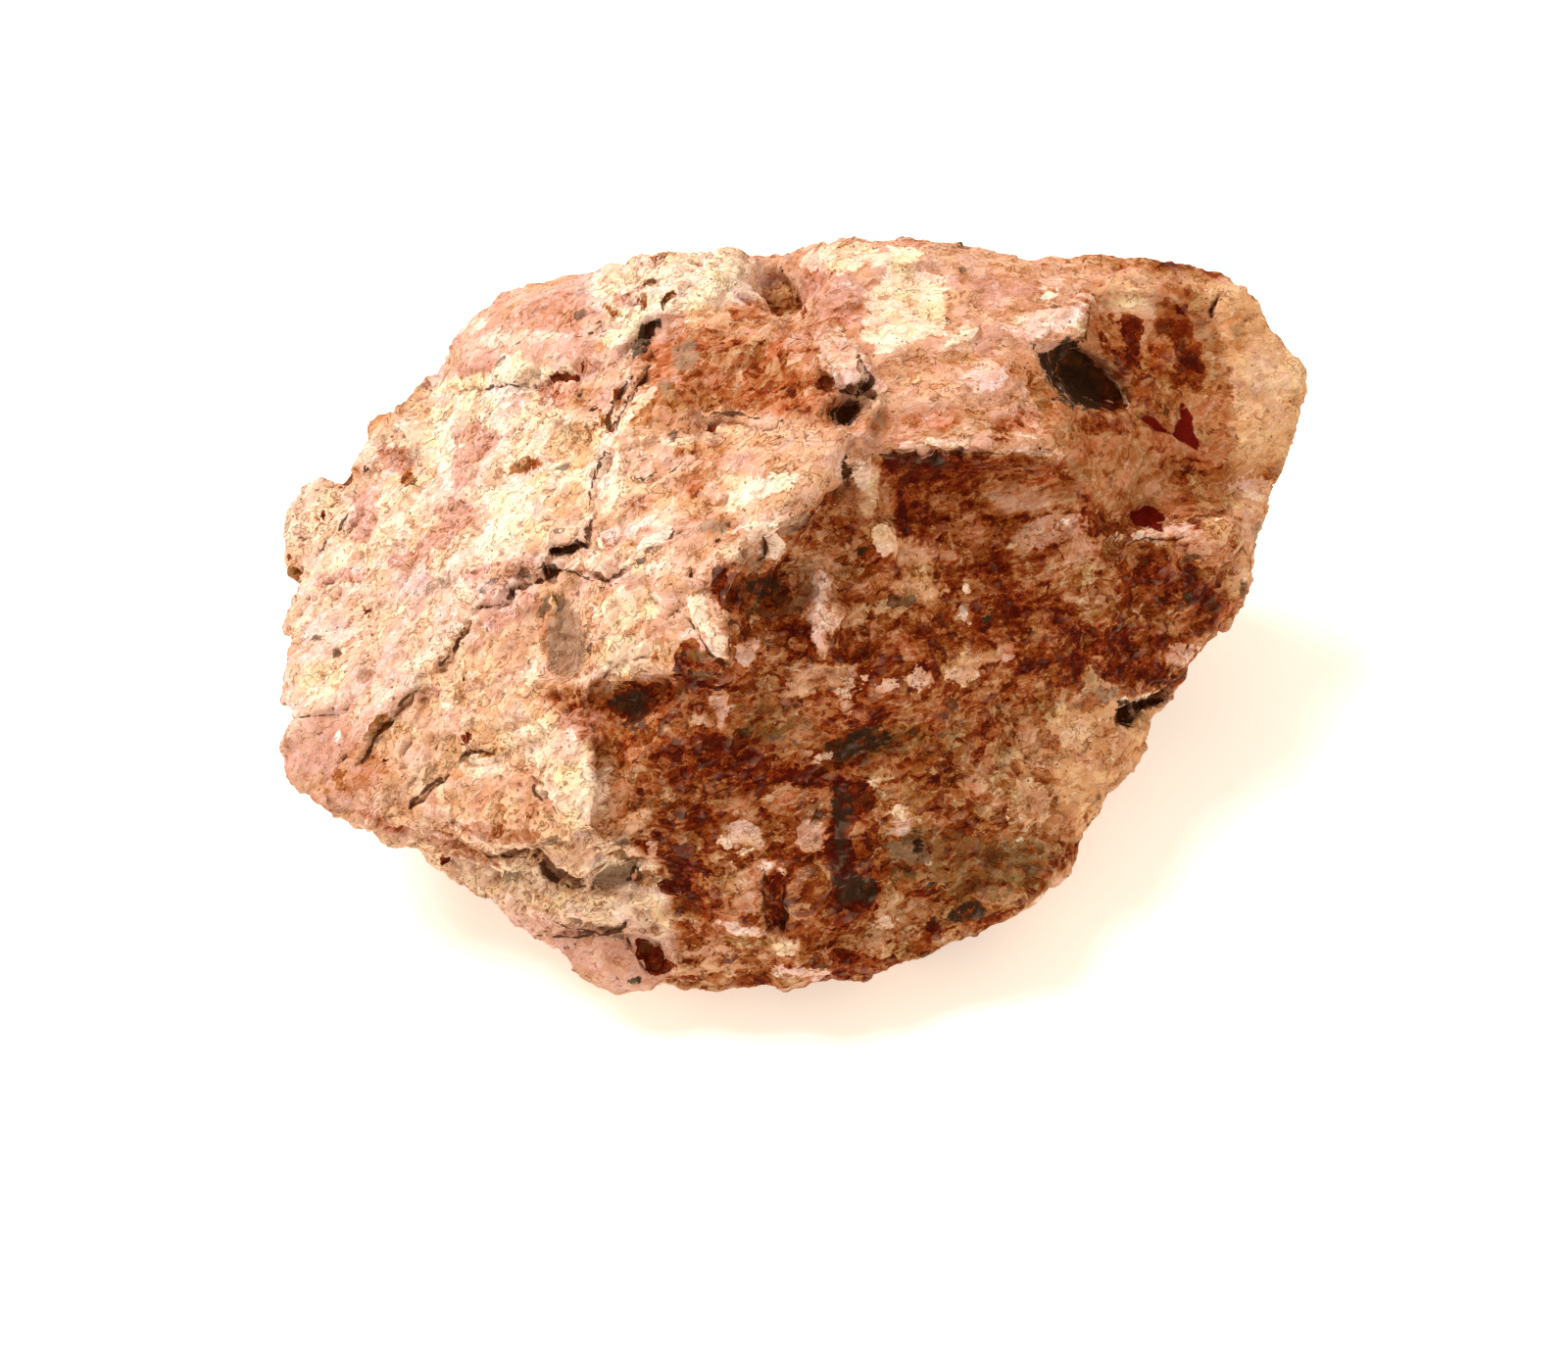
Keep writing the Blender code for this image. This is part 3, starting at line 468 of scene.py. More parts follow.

# Broad parts that are paler or darker than their face: soft ovals by their change of tone. They are partly
# the stone's own tone and partly painted light and painted shade.
SHADES = {
    0.22: [(1045, 508, 46, 18)],
    0.2: [(700, 322, 62, 16, 18)],
    0.16: [
        (762, 285, 26, 22), (780, 545, 44, 22, 20), (885, 510, 30, 36), (622, 808, 22, 26),
        (1264, 597, 14, 16), (625, 888, 24, 12)],
    0.14: [
        (540, 385, 34, 10, 10), (655, 578, 50, 12), (1262, 602, 16, 22), (1160, 312, 34, 14),
        (745, 290, 24, 16), (625, 890, 24, 14), (918, 515, 18, 18), (762, 282, 22, 16),
        (540, 388, 26, 8, 10), (1266, 590, 12, 14), (738, 292, 20, 18)],
    0.12: [
        (430, 392, 30, 12, 20), (500, 610, 26, 14), (842, 600, 16, 44), (625, 890, 30, 12),
        (665, 335, 24, 12, 20), (540, 385, 26, 8, 10), (500, 600, 24, 14), (775, 590, 18, 40),
        (622, 812, 20, 20), (905, 415, 26, 14), (1128, 375, 12, 24, 40), (958, 930, 24, 12),
        (652, 332, 20, 10, 20), (825, 375, 14, 12), (525, 386, 26, 10, 10), (930, 412, 34, 10),
        (1050, 515, 34, 14), (1168, 338, 6, 24)],
    0.1: [
        (595, 480, 34, 46), (455, 660, 60, 12, 40), (955, 618, 26, 14), (618, 770, 14, 20),
        (525, 735, 30, 20), (520, 892, 40, 10), (310, 745, 16, 22, 30), (1100, 340, 14, 40),
        (1055, 780, 36, 16), (1080, 830, 12, 24), (785, 965, 50, 14), (930, 935, 22, 12),
        (1135, 605, 14, 20), (800, 632, 14, 14), (1160, 312, 30, 12), (1225, 345, 14, 18),
        (1072, 842, 16, 16), (1050, 385, 14, 16), (612, 705, 20, 10), (740, 690, 16, 14),
        (640, 497, 30, 12), (1255, 300, 16, 14), (600, 705, 20, 8), (1020, 850, 20, 12),
        (1325, 380, 12, 20), (655, 330, 16, 10, 20), (1050, 755, 20, 40), (1050, 862, 34, 12),
        (605, 805, 16, 20), (740, 990, 20, 10)],
    0.08: [
        (1200, 318, 30, 16), (950, 712, 26, 16), (760, 840, 40, 16), (1300, 382, 34, 18),
        (870, 385, 30, 20), (975, 350, 16, 14), (920, 345, 16, 14), (1175, 550, 30, 14),
        (1140, 735, 24, 12), (625, 490, 20, 36), (670, 575, 30, 14), (600, 930, 30, 14),
        (965, 360, 20, 12), (870, 395, 20, 18), (1045, 515, 40, 16), (1160, 552, 28, 12),
        (1060, 772, 26, 14), (1105, 425, 24, 10), (730, 960, 24, 10), (815, 372, 14, 12),
        (650, 710, 34, 8), (940, 720, 18, 14), (1150, 318, 24, 12)],
    0.06: [
        (500, 400, 60, 20), (960, 262, 90, 14), (1190, 500, 40, 14), (520, 890, 30, 10),
        (1300, 375, 30, 24), (625, 888, 30, 14)],
    -0.05: [(1160, 620, 30, 30)],
    -0.06: [(720, 510, 26, 20)],
    -0.08: [
        (352, 485, 20, 24, 60), (1240, 345, 12, 14), (985, 485, 16, 16), (940, 540, 24, 24),
        (860, 335, 34, 26), (1040, 325, 20, 30), (840, 1000, 40, 8), (745, 900, 50, 16),
        (622, 380, 14, 12), (832, 275, 18, 14), (960, 420, 40, 14), (1262, 330, 12, 14),
        (385, 790, 20, 14), (480, 790, 24, 14), (1110, 702, 26, 12, -10), (980, 502, 20, 14),
        (1210, 390, 20, 18), (870, 435, 12, 8), (395, 690, 14, 12), (520, 665, 18, 14),
        (870, 665, 34, 16), (630, 372, 16, 14), (690, 430, 26, 14), (585, 560, 18, 14),
        (430, 425, 20, 10, 40)],
    -0.1: [
        (515, 318, 16, 18), (790, 385, 36, 30), (1300, 500, 14, 40), (392, 782, 14, 10),
        (965, 655, 34, 12), (1000, 750, 24, 14), (960, 765, 30, 12), (1210, 605, 20, 16),
        (1170, 270, 50, 12, -5), (570, 770, 14, 30), (690, 1000, 30, 10), (595, 405, 22, 14),
        (722, 362, 20, 14), (740, 542, 20, 14), (1185, 268, 30, 8, -6), (415, 832, 26, 16),
        (722, 610, 10, 16), (1185, 660, 16, 16), (680, 405, 26, 16), (740, 540, 22, 12),
        (960, 425, 40, 12), (590, 400, 22, 14), (1145, 350, 14, 20), (1010, 760, 22, 14),
        (880, 760, 36, 18), (870, 910, 30, 16), (635, 716, 34, 14, 5), (700, 890, 24, 28),
        (672, 520, 30, 12), (312, 580, 12, 18), (676, 672, 18, 14), (735, 708, 22, 14),
        (818, 872, 16, 16), (1240, 498, 30, 14), (1190, 270, 36, 8, -6), (1010, 442, 20, 16),
        (1200, 370, 28, 30), (1145, 372, 22, 16)],
    -0.12: [
        (680, 650, 24, 22), (608, 742, 20, 14), (785, 718, 50, 16, -10), (965, 858, 34, 24),
        (380, 850, 60, 12, -25), (530, 825, 26, 34), (580, 872, 26, 10), (1185, 268, 40, 8, -6),
        (365, 485, 16, 14), (855, 850, 12, 60)],
    -0.14: [(600, 408, 24, 14, 10), (745, 350, 34, 14, -15), (950, 430, 44, 16, -10), (875, 775, 30, 16)],
    -0.16: [
        (712, 460, 26, 26), (718, 505, 30, 26), (1165, 385, 20, 36), (890, 692, 20, 16),
        (1190, 662, 18, 16), (835, 862, 26, 20, 30), (890, 832, 16, 14), (1062, 892, 30, 14, 10),
        (1042, 820, 14, 20)],
    -0.18: [(1212, 382, 22, 24), (680, 805, 16, 14), (862, 930, 26, 16)],
    -0.2: [(1035, 438, 34, 16, 15), (1025, 645, 32, 30), (1085, 682, 40, 20, -20)],
    -0.22: [(676, 868, 26, 14)],
}

# Grey quartz, dark mica and olive-brown marks, drawn the same way, by their strength. The olive-brown marks
# are partly crust and partly painted shade in small recesses and along cracks.
QUARTZ = {
    1.0: [(596, 298, 9, 5, 50)],
    0.9: [
        [(686, 352), (700, 344), (714, 352), (712, 372), (700, 380), (688, 374)], (448, 597, 24, 5, 20),
        (577, 655, 22, 38), (1128, 708, 16, 7)],
    0.8: [
        (575, 435, 9, 9), (732, 537, 16, 9), (812, 535, 20, 10, 35), (372, 686, 12, 6), (724, 262, 4, 6),
        (1283, 550, 6, 18)],
    0.7: [(680, 392, 10, 8), (765, 572, 12, 14, 30), (930, 868, 24, 16)],
    0.6: [(982, 620, 7, 14, 15), (920, 885, 12, 8)],
    0.5: [
        (1215, 648, 10, 6, 20), (895, 430, 12, 16), (690, 720, 10, 20), (800, 395, 10, 5),
        (860, 505, 12, 6, 20)],
    0.4: [(715, 605, 8, 12), (660, 612, 9, 7)],
}
MICA = {
    1.6: [
        [(1062, 361), (1075, 357), (1082, 350), (1092, 345), (1098, 355), (1112, 370), (1122, 386),
         (1124, 400), (1120, 416), (1100, 410), (1086, 403), (1072, 391), (1068, 380)]],
    1.0: [
        [(643, 364), (645, 348), (652, 336), (662, 328), (672, 324), (676, 334), (668, 342), (664, 354),
         (654, 361), (647, 370)],
        (650, 1002, 7, 4), (696, 668, 5, 4)],
    0.9: [
        [(840, 420), (858, 415), (876, 410), (873, 426), (867, 436), (856, 430)],
        [(854, 399), (880, 397), (888, 388), (893, 400), (880, 403)],
        [(1139, 716), (1170, 716), (1190, 708), (1192, 714), (1178, 721), (1158, 723), (1158, 740),
         (1150, 744), (1140, 736)]],
    0.8: [
        [(560, 564), (562, 557), (599, 552), (600, 560), (586, 562), (566, 568)],
        [(545, 580), (560, 572), (577, 578), (572, 588), (554, 588)], (864, 480, 6, 18), (730, 553, 5, 4),
        (992, 935, 16, 6, 15), (1211, 608, 8, 9), (374, 483, 3, 6, -20), (945, 291, 3, 2),
        (967, 325, 2.5, 4), (1054, 353, 5, 4)],
    0.7: [
        [(842, 758), (866, 742), (896, 738), (905, 752), (880, 770), (852, 782)],
        [(846, 892), (880, 890), (900, 904), (890, 926), (858, 920)], (955, 470, 12, 9), (880, 564, 9, 9),
        (850, 503, 10, 6, 30), (824, 515, 22, 3, 5), (592, 400, 5, 5), (603, 416, 5, 5), (393, 686, 4, 4),
        (1094, 410, 20, 7, -20), (893, 252, 4, 2, 20), (1046, 376, 3.5, 3, -30)],
    0.6: [
        [(848, 800), (866, 792), (872, 830), (862, 880), (848, 876)],
        [(970, 925), (1000, 915), (1014, 930), (985, 944), (966, 940)],
        [(612, 724), (622, 706), (664, 700), (668, 718), (640, 732)], (935, 862, 9, 16),
        (948, 907, 16, 5), (878, 766, 20, 8, 20), (576, 440, 8, 4), (418, 490, 4, 8), (415, 446, 3, 5),
        (640, 716, 22, 10, 10), (798, 276, 3, 3), (848, 337, 4, 2.5), (777, 600, 20, 14, 30),
        (474, 690, 8, 5, -40)],
    0.5: [
        (900, 750, 16, 14), (1006, 634, 9, 10), (760, 752, 14, 5), (858, 870, 10, 30), (1097, 685, 10, 8),
        (1150, 650, 6, 14), (600, 540, 4, 8)],
    0.45: [[(1112, 370), (1130, 388), (1146, 402), (1153, 416), (1138, 420), (1112, 416)]],
    0.4: [(690, 890, 14, 8)],
}
OLIVE = {
    0.8: [(421, 466, 5, 14, -20), (1078, 396, 14, 8, -30), (712, 668, 14, 8)],
    0.7: [(650, 340, 8, 10), (1262, 336, 6, 9), (1162, 732, 9, 6, 20)],
    0.6: [
        (402, 732, 44, 8, 50), (780, 750, 24, 10, 10), (715, 690, 14, 8), (492, 767, 10, 4, 10),
        (562, 582, 20, 7, 20), (900, 760, 30, 12, 15), (390, 616, 12, 6), (855, 406, 20, 4, 5),
        (855, 715, 8, 5), (548, 865, 14, 8, -20), (645, 890, 12, 6, 20)],
    0.55: [
        [(900, 852), (940, 836), (990, 850), (1040, 852), (1082, 864), (1058, 902), (1008, 926),
         (958, 902), (905, 900)]],
    0.5: [
        (470, 775, 26, 8, 30), (1225, 345, 12, 10), (663, 898, 18, 8, 10), (388, 738, 14, 8, 60),
        (1000, 900, 40, 22, 20), (300, 582, 10, 8), (1100, 695, 22, 8, -10), (418, 735, 16, 8),
        (935, 870, 20, 24), (785, 655, 10, 8)],
    0.45: [
        [(748, 712), (780, 702), (812, 716), (850, 740), (846, 768), (800, 756), (760, 764)],
        [(740, 600), (760, 590), (800, 586), (800, 626), (760, 632)]],
    0.4: [
        [(860, 738), (930, 742), (1000, 748), (990, 776), (930, 770), (880, 790)], (535, 476, 18, 8, 15),
        (1060, 410, 12, 20, 30)],
}

# The wine-red marks of the right basin and over the knob: outlines in pixels. They are sunken a little.
WINE_RED = [
    [(1158, 419), (1172, 423), (1184, 432), (1197, 444), (1180, 440), (1168, 430)],
    [(1204, 410), (1211, 412), (1217, 430), (1226, 455), (1221, 459), (1205, 451), (1197, 442),
     (1204, 430)],
    [(1153, 522), (1162, 519), (1172, 516), (1190, 523), (1188, 541), (1168, 539), (1156, 536)],
]

# Open cracks: depth in mm, and the line in pixels with the crack's width there.
CRACKS = {
    "long_crack": (0.4, [
        (470, 397, 0), (500, 396, 2), (515, 392, 2), (545, 394, 1), (562, 386, 2), (575, 383, 4)]),
    "crack_of_upper_plate": (0.4, [(583, 346, 1), (600, 340, 2), (625, 337, 1), (641, 334, 0)]),
    "crack_of_middle_top": (0.7, [
        (718, 425, 0), (728, 422, 3), (743, 421, 4), (755, 424, 3), (780, 428, 1.5), (803, 431, 2),
        (812, 430, 0)]),
    "crack_of_middle_plate": (0.8, [
        (584, 584, 3), (598, 590, 4), (618, 594, 3), (640, 580, 2), (672, 557, 1.5), (690, 545, 2),
        (698, 542, 0)]),
    "side_crack_of_middle_plate": (0.4, [(596, 608, 0), (612, 602, 2), (632, 594, 1)]),
    "edge_under_middle_plate": (0.5, [
        (640, 487, 1), (658, 490, 3), (672, 482, 1), (682, 480, 4), (695, 473, 3), (712, 462, 0)]),
    "slit_of_diamond": (1.2, [
        (577, 580, 4), (560, 588, 7), (540, 596, 4), (522, 600, 4), (520, 610, 4), (512, 615, 2)]),
    "slit_top": (1.0, [(600, 556, 6), (582, 560, 7), (562, 562, 5)]),
    "diagonal_crack_top": (0.7, [(512, 615, 2), (495, 621, 2.5), (484, 628, 1)]),
    "diagonal_crack_wide": (1.0, [
        (482, 637, 2), (474, 643, 4), (467, 655, 5), (460, 668, 4), (450, 680, 5), (444, 684, 1)]),
    "diagonal_crack_low": (0.9, [
        (430, 700, 1), (420, 706, 2), (412, 714, 3), (404, 723, 2), (396, 736, 2), (375, 753, 1)]),
    "diagonal_crack_end": (0.8, [
        (396, 736, 2), (386, 748, 4), (380, 760, 3), (372, 772, 4), (364, 784, 1)]),
    "crack_above_left_lobe": (0.5, [
        (300, 733, 3), (318, 730, 2), (345, 728, 2), (360, 716, 1), (375, 708, 2), (380, 704, 0)]),
    "crack_of_tan_facet": (0.9, [
        (414, 830, 0), (420, 818, 6), (428, 812, 4), (440, 801, 3), (450, 795, 4), (454, 790, 0)]),
    "second_of_tan_facet": (0.9, [
        (466, 778, 1), (474, 771, 4), (478, 764, 3), (486, 766, 2), (500, 770, 1)]),
    "crack_of_left_facet": (0.6, [(344, 544, 0), (347, 540, 5), (350, 530, 3), (355, 522, 0)]),
    "second_of_left_facet": (0.5, [(322, 566, 0), (328, 562, 3), (334, 548, 2), (340, 544, 0)]),
    "crack_of_undercut": (1.6, [
        (490, 872, 1), (530, 874, 3), (546, 874, 5), (555, 888, 7), (564, 896, 8), (576, 903, 5),
        (592, 905, 4), (600, 902, 1)]),
    "second_of_undercut": (1.2, [
        (612, 904, 1), (637, 900, 4), (652, 896, 6), (650, 886, 6), (644, 880, 3)]),
    "third_of_undercut": (0.8, [
        (565, 942, 3), (590, 948, 1), (612, 953, 3), (630, 950, 5), (640, 944, 2)]),
    "lip_of_pale_block": (0.9, [
        (538, 790, 1), (543, 800, 4), (545, 810, 4), (556, 818, 2), (566, 826, 3), (575, 836, 1)]),
    "gap_of_crumbs": (1.6, [
        (856, 398, 4), (870, 400, 5), (884, 398, 6), (889, 388, 5), (880, 372, 4), (878, 362, 2)]),
    "crack_at_crystal": (0.6, [(690, 345, 1), (691, 352, 3), (692, 360, 1)]),
    "edge_of_finger": (0.9, [(645, 384, 3), (636, 398, 5), (626, 412, 5), (620, 424, 5), (622, 438, 6)]),
    "right_of_finger": (0.9, [(663, 372, 2), (658, 388, 3), (648, 402, 2), (636, 418, 2), (624, 440, 5)]),
    "crumbs_by_left_edge": (0.9, [
        (617, 460, 3), (612, 476, 6), (606, 490, 3), (602, 505, 3), (600, 520, 1)]),
    "second_crumbs": (0.7, [(636, 462, 2), (640, 470, 3), (632, 484, 2)]),
    "crumbs_over_slit": (0.9, [(604, 530, 2), (600, 540, 6), (602, 552, 4)]),
    "crack_low_in_front": (0.7, [(781, 888, 2), (779, 910, 3), (781, 945, 2)]),
    "crack_in_front": (0.6, [(806, 890, 2), (804, 912, 2), (800, 948, 3)]),
    "crack_at_ledge": (0.8, [
        (898, 464, 4), (925, 464, 5), (945, 460, 3), (975, 462, 4), (1010, 462, 3), (1030, 466, 1)]),
    "crack_right_of_block": (0.8, [(1112, 310, 1), (1111, 326, 3), (1106, 345, 3), (1098, 352, 2)]),
    "crack_over_knob": (0.6, [(1150, 558, 1), (1170, 549, 2), (1190, 552, 3), (1210, 546, 1)]),
    "second_over_knob": (0.5, [(1212, 530, 2), (1225, 526, 3), (1242, 527, 1)]),
    "crack_of_white_streak": (0.6, [(704, 578, 2), (706, 588, 4), (706, 594, 1)]),
    "crack_right_of_streak": (0.7, [
        (702, 632, 2), (712, 648, 3), (722, 664, 3), (730, 674, 5), (742, 682, 3)]),
    "crack_of_right_end": (0.8, [(1246, 300, 1), (1240, 308, 4), (1236, 318, 3)]),
    "crack_of_toe": (0.7, [(640, 957, 2), (650, 975, 3), (660, 992, 2)]),
    "edge_line_of_toe": (0.6, [(545, 955, 1), (590, 956, 3), (620, 954, 2)]),
    "slot_of_low_right": (1.6, [
        (1142, 735, 8), (1148, 722, 10), (1165, 719, 7), (1185, 714, 5), (1192, 706, 3)]),
    "crack_in_lobe": (0.5, [(340, 780, 1), (350, 775, 3), (356, 768, 0)]),
    "crack_by_grey_ridge": (0.7, [(779, 545, 3), (782, 560, 4), (778, 572, 2)]),
    "speckled_crack": (0.6, [(676, 316, 2), (679, 304, 4), (690, 299, 3), (700, 300, 0)]),
    "second_speckled_crack": (0.6, [(654, 290, 3), (664, 286, 4), (672, 288, 1)]),
}

# A thin pale vein at the dark pit: half width in pixels, height in mm and the line.
VEINS = {
    "vein_by_pit": (1.6, 0.25, [(1126, 381), (1138, 391), (1147, 402), (1151, 416)]),
}

# Plates and blocks that stand out with crisp edges, or lie deeper: height in mm and outline in pixels.
SLABS = {
    "finger": (1.5, [
        (655, 362), (663, 372), (656, 388), (641, 405), (630, 421), (624, 417), (636, 398), (648, 380)]),
    "white_edge_plate": (0.6, [
        (664, 394), (690, 400), (716, 420), (690, 450), (650, 450), (626, 470), (610, 474), (624, 440),
        (645, 412)]),
    "blade_tip": (0.6, [(578, 583), (596, 562), (611, 546), (640, 560), (618, 592), (600, 588)]),
    "pale_block": (0.6, [
        (550, 775), (580, 745), (603, 756), (606, 848), (592, 849), (562, 822), (545, 806)]),
    "crumb_block": (0.8, [
        (830, 356), (850, 340), (876, 354), (888, 374), (884, 394), (862, 397), (846, 384), (832, 376)]),
    "orange_block": (0.6, [
        (1000, 322), (1050, 305), (1109, 307), (1110, 318), (1104, 342), (1094, 350), (1060, 350),
        (1008, 348)]),
    "white_flake": (0.4, [(962, 354), (972, 340), (998, 330), (1001, 336), (985, 349), (968, 356)]),
    "pale_flake": (0.3, [(1060, 307), (1072, 294), (1084, 291), (1082, 300), (1068, 308)]),
    "rib_block": (0.8, [(892, 532), (905, 528), (915, 543), (913, 566), (900, 571), (892, 556)]),
    "rib_block_above": (0.7, [
        (868, 466), (882, 460), (897, 478), (900, 495), (890, 522), (878, 522), (876, 500), (868, 488)]),
    "pale_rib": (0.8, [
        (827, 582), (837, 580), (848, 592), (849, 604), (841, 613), (857, 626), (855, 640), (842, 647),
        (844, 668), (836, 672), (830, 655), (828, 632), (833, 618), (827, 600)]),
    "front_block": (0.45, [
        (720, 842), (742, 838), (776, 836), (782, 860), (778, 886), (778, 946), (742, 950), (720, 920)]),
    "front_slot": (-0.8, [(781, 892), (806, 890), (806, 948), (782, 950)]),
    "pale_low_left_plate": (0.4, [
        (302, 672), (322, 664), (350, 668), (361, 684), (356, 702), (332, 722), (305, 731)]),
    "rose_plate": (0.5, [
        (484, 626), (497, 606), (520, 600), (548, 604), (560, 613), (532, 632), (500, 642)]),
    "mauve_plate": (0.5, [
        (470, 584), (500, 573), (541, 570), (556, 574), (545, 582), (520, 586), (518, 606), (484, 623),
        (472, 612)]),
    "left_pink_plate": (0.3, [
        (352, 545), (360, 505), (380, 478), (396, 486), (392, 510), (380, 536), (366, 552)]),
    "cream_plate": (0.4, [
        (488, 500), (512, 492), (540, 492), (560, 505), (562, 540), (545, 560), (512, 570), (492, 555)]),
    "upper_cream_plate": (0.3, [
        (510, 455), (528, 438), (560, 432), (572, 440), (556, 456), (530, 470), (512, 476)]),
    "pale_chip": (0.35, [(512, 362), (530, 360), (531, 372), (549, 376), (520, 387), (498, 388)]),
    "tan_block": (0.4, [
        (500, 790), (505, 765), (520, 745), (545, 748), (552, 765), (540, 790), (520, 800)]),
    "undercut_block": (0.8, [
        (500, 878), (545, 878), (556, 896), (570, 906), (560, 925), (530, 905), (505, 892)]),
    "second_undercut_block": (0.8, [
        (552, 868), (570, 862), (612, 866), (640, 880), (640, 896), (600, 902), (576, 898), (562, 886)]),
    "undercut_band": (0.5, [
        (520, 915), (560, 912), (600, 908), (650, 902), (660, 925), (620, 944), (560, 940), (530, 932)]),
    "lip_under_ledge": (0.4, [
        (893, 455), (930, 446), (1000, 442), (1050, 452), (1080, 460), (1040, 464), (975, 461),
        (905, 463)]),
    "grey_ridge": (0.6, [
        (702, 604), (716, 610), (734, 640), (746, 670), (742, 684), (722, 664), (704, 634)]),
    "plate_over_crystal": (0.4, [
        (672, 345), (690, 318), (750, 310), (775, 322), (800, 332), (800, 345), (740, 340), (690, 340)]),
    "speckled_block": (0.4, [(718, 272), (748, 262), (762, 298), (757, 310), (722, 306)]),
    "left_speckled_block": (0.35, [(640, 262), (668, 258), (682, 272), (672, 284), (645, 286)]),
    "knob_top": (0.5, [
        (1142, 562), (1150, 546), (1190, 542), (1258, 534), (1262, 560), (1240, 575), (1200, 556),
        (1160, 556)]),
}

# Holes and gaps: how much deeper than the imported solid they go, in mm away from the camera, and outline.
# A depth below 0 fills the place up.
HOLES = {
    "dark_pit": (1.8, [
        (1062, 360), (1076, 354), (1088, 346), (1100, 356), (1122, 376), (1146, 398), (1154, 414),
        (1138, 420), (1112, 416), (1086, 402), (1070, 388)]),
    "top_hollow": (1.2, [
        (770, 296), (778, 284), (792, 278), (808, 284), (818, 304), (816, 322), (800, 329), (784, 318)]),
    "diamond": (1.6, [(549, 588), (560, 560), (599, 551), (602, 560), (586, 572), (570, 586)]),
    "gap_under_crumbs": (2, [(840, 419), (858, 414), (877, 410), (873, 426), (866, 436), (854, 430)]),
    "filled_gap": (-2.5, [
        (848, 436), (868, 438), (880, 412), (896, 396), (898, 416), (884, 450), (860, 450)]),
    "hole_in_crumbs": (0.9, [(836, 388), (846, 384), (854, 392), (850, 400), (838, 400)]),
    "recess_by_finger": (0.9, [(613, 438), (614, 424), (626, 416), (632, 424), (624, 438)]),
    "toe_pocket": (1.2, [(646, 958), (672, 966), (690, 986), (668, 996), (658, 988), (650, 972)]),
    "low_right_slot": (2.5, [
        (1140, 716), (1170, 716), (1190, 708), (1192, 714), (1178, 721), (1158, 724), (1158, 738),
        (1148, 742)]),
    "crystal": (0.8, [(643, 364), (645, 348), (660, 328), (674, 326), (668, 344), (656, 362)]),
    "olive_hollow": (0.6, [(409, 480), (416, 476), (424, 488), (420, 500), (412, 498)]),
    "front_cave": (0.8, [
        (746, 602), (762, 590), (788, 580), (815, 558), (826, 550), (827, 600), (806, 618), (752, 626)]),
}

# Ledges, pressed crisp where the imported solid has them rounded: the line in pixels, with the drop in mm.
# The lower side is on the right of the line's run.
LEDGES = {
    "crest_and_long_ledge": [
        (690, 960, 0.4), (680, 880, 0.8), (610, 845, 2), (608, 765, 2.4), (580, 740, 1.4),
        (555, 705, 0.8), (600, 702, 2.2), (680, 695, 2.8), (740, 690, 2.6), (745, 600, 3),
        (760, 565, 3.2), (830, 515, 3.4), (870, 485, 2.6), (905, 462, 2.6), (960, 458, 4),
        (1020, 466, 3.4), (1080, 462, 2), (1120, 473, 0.3)],
    "left_edge_of_middle_plate": [
        (685, 338, 0.5), (655, 385, 1.6), (640, 410, 2.2), (620, 440, 2.2), (612, 480, 1.8),
        (603, 545, 2), (580, 580, 1.2)],
    "edge_of_upper_left_plate": [
        (440, 400, 0.3), (530, 390, 0.4), (590, 382, 0.5), (650, 345, 0.8), (668, 325, 0.5),
        (757, 300, 0.2)],
    "undercut_at_lower_left": [
        (330, 832, 0.4), (430, 852, 1.6), (520, 864, 2.4), (610, 854, 2.2), (680, 890, 1.0),
        (730, 918, 0.2)],
    "rim_of_right_basin": [
        (1080, 378, 0.4), (1095, 350, 1.8), (1110, 306, 2.6), (1150, 298, 2.2), (1190, 308, 1.8),
        (1230, 330, 1.2), (1255, 388, 0.8)],
    "top_of_low_knob": [
        (1270, 526, 0.3), (1220, 539, 1.6), (1175, 534, 2.6), (1145, 548, 2.2), (1126, 598, 0.8)],
    "left_lobe_edge": [(355, 503, 0.4), (340, 548, 1.2), (315, 588, 1.0)],
}

# Parts of the stone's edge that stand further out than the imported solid, or less far: the move in mm
# (across, back and up) and a soft oval in pixels.
SWELLS = {
    "under_left_lobe": ((-0.3, -0.6, -0.5), (375, 845, 52, 22, -30)),
    "side_of_toe": ((-0.4, -0.6, -0.5), (570, 970, 40, 20, -42)),
    "left_edge": ((-0.9, 0.9, 0.7), (366, 458, 30, 30)),
    "upper_left_edge": ((1.3, -1.1, -0.9), (445, 372, 30, 24, 50)),
    "corner_of_left_edge": ((-0.6, 0.8, 0.8), (404, 440, 22, 18)),
    "top_left_edge": ((0.0, -0.8, -0.8), (622, 272, 46, 18, 10)),
    "notch_of_top_edge": ((0.0, 0.8, 0.9), (838, 270, 22, 16)),
    "top_right_edge": ((0.0, 0.5, 0.5), (1190, 274, 36, 14, -6)),
    "right_edge": ((0.3, 0.0, 0.0), (1298, 512, 26, 70, -8)),
    "upper_right_edge": ((-0.9, 0.0, 0.0), (1304, 342, 20, 16)),
    "under_right_edge": ((-0.8, 0.0, 0.0), (1270, 602, 22, 26)),
    "low_right_edge": ((0.4, -0.9, -0.2), (1045, 912, 80, 30, 35)),
    "right_edge_below": ((0.4, -0.2, 0.0), (1150, 770, 26, 60, -35)),
    "bottom_left": ((0.0, -2.1, 0.0), (705, 990, 58, 26)),
    "bottom": ((0.0, -0.9, 0.0), (860, 992, 90, 26, 10)),
    "bottom_right": ((0.0, -0.7, 0.0), (930, 970, 60, 26, 20)),
}

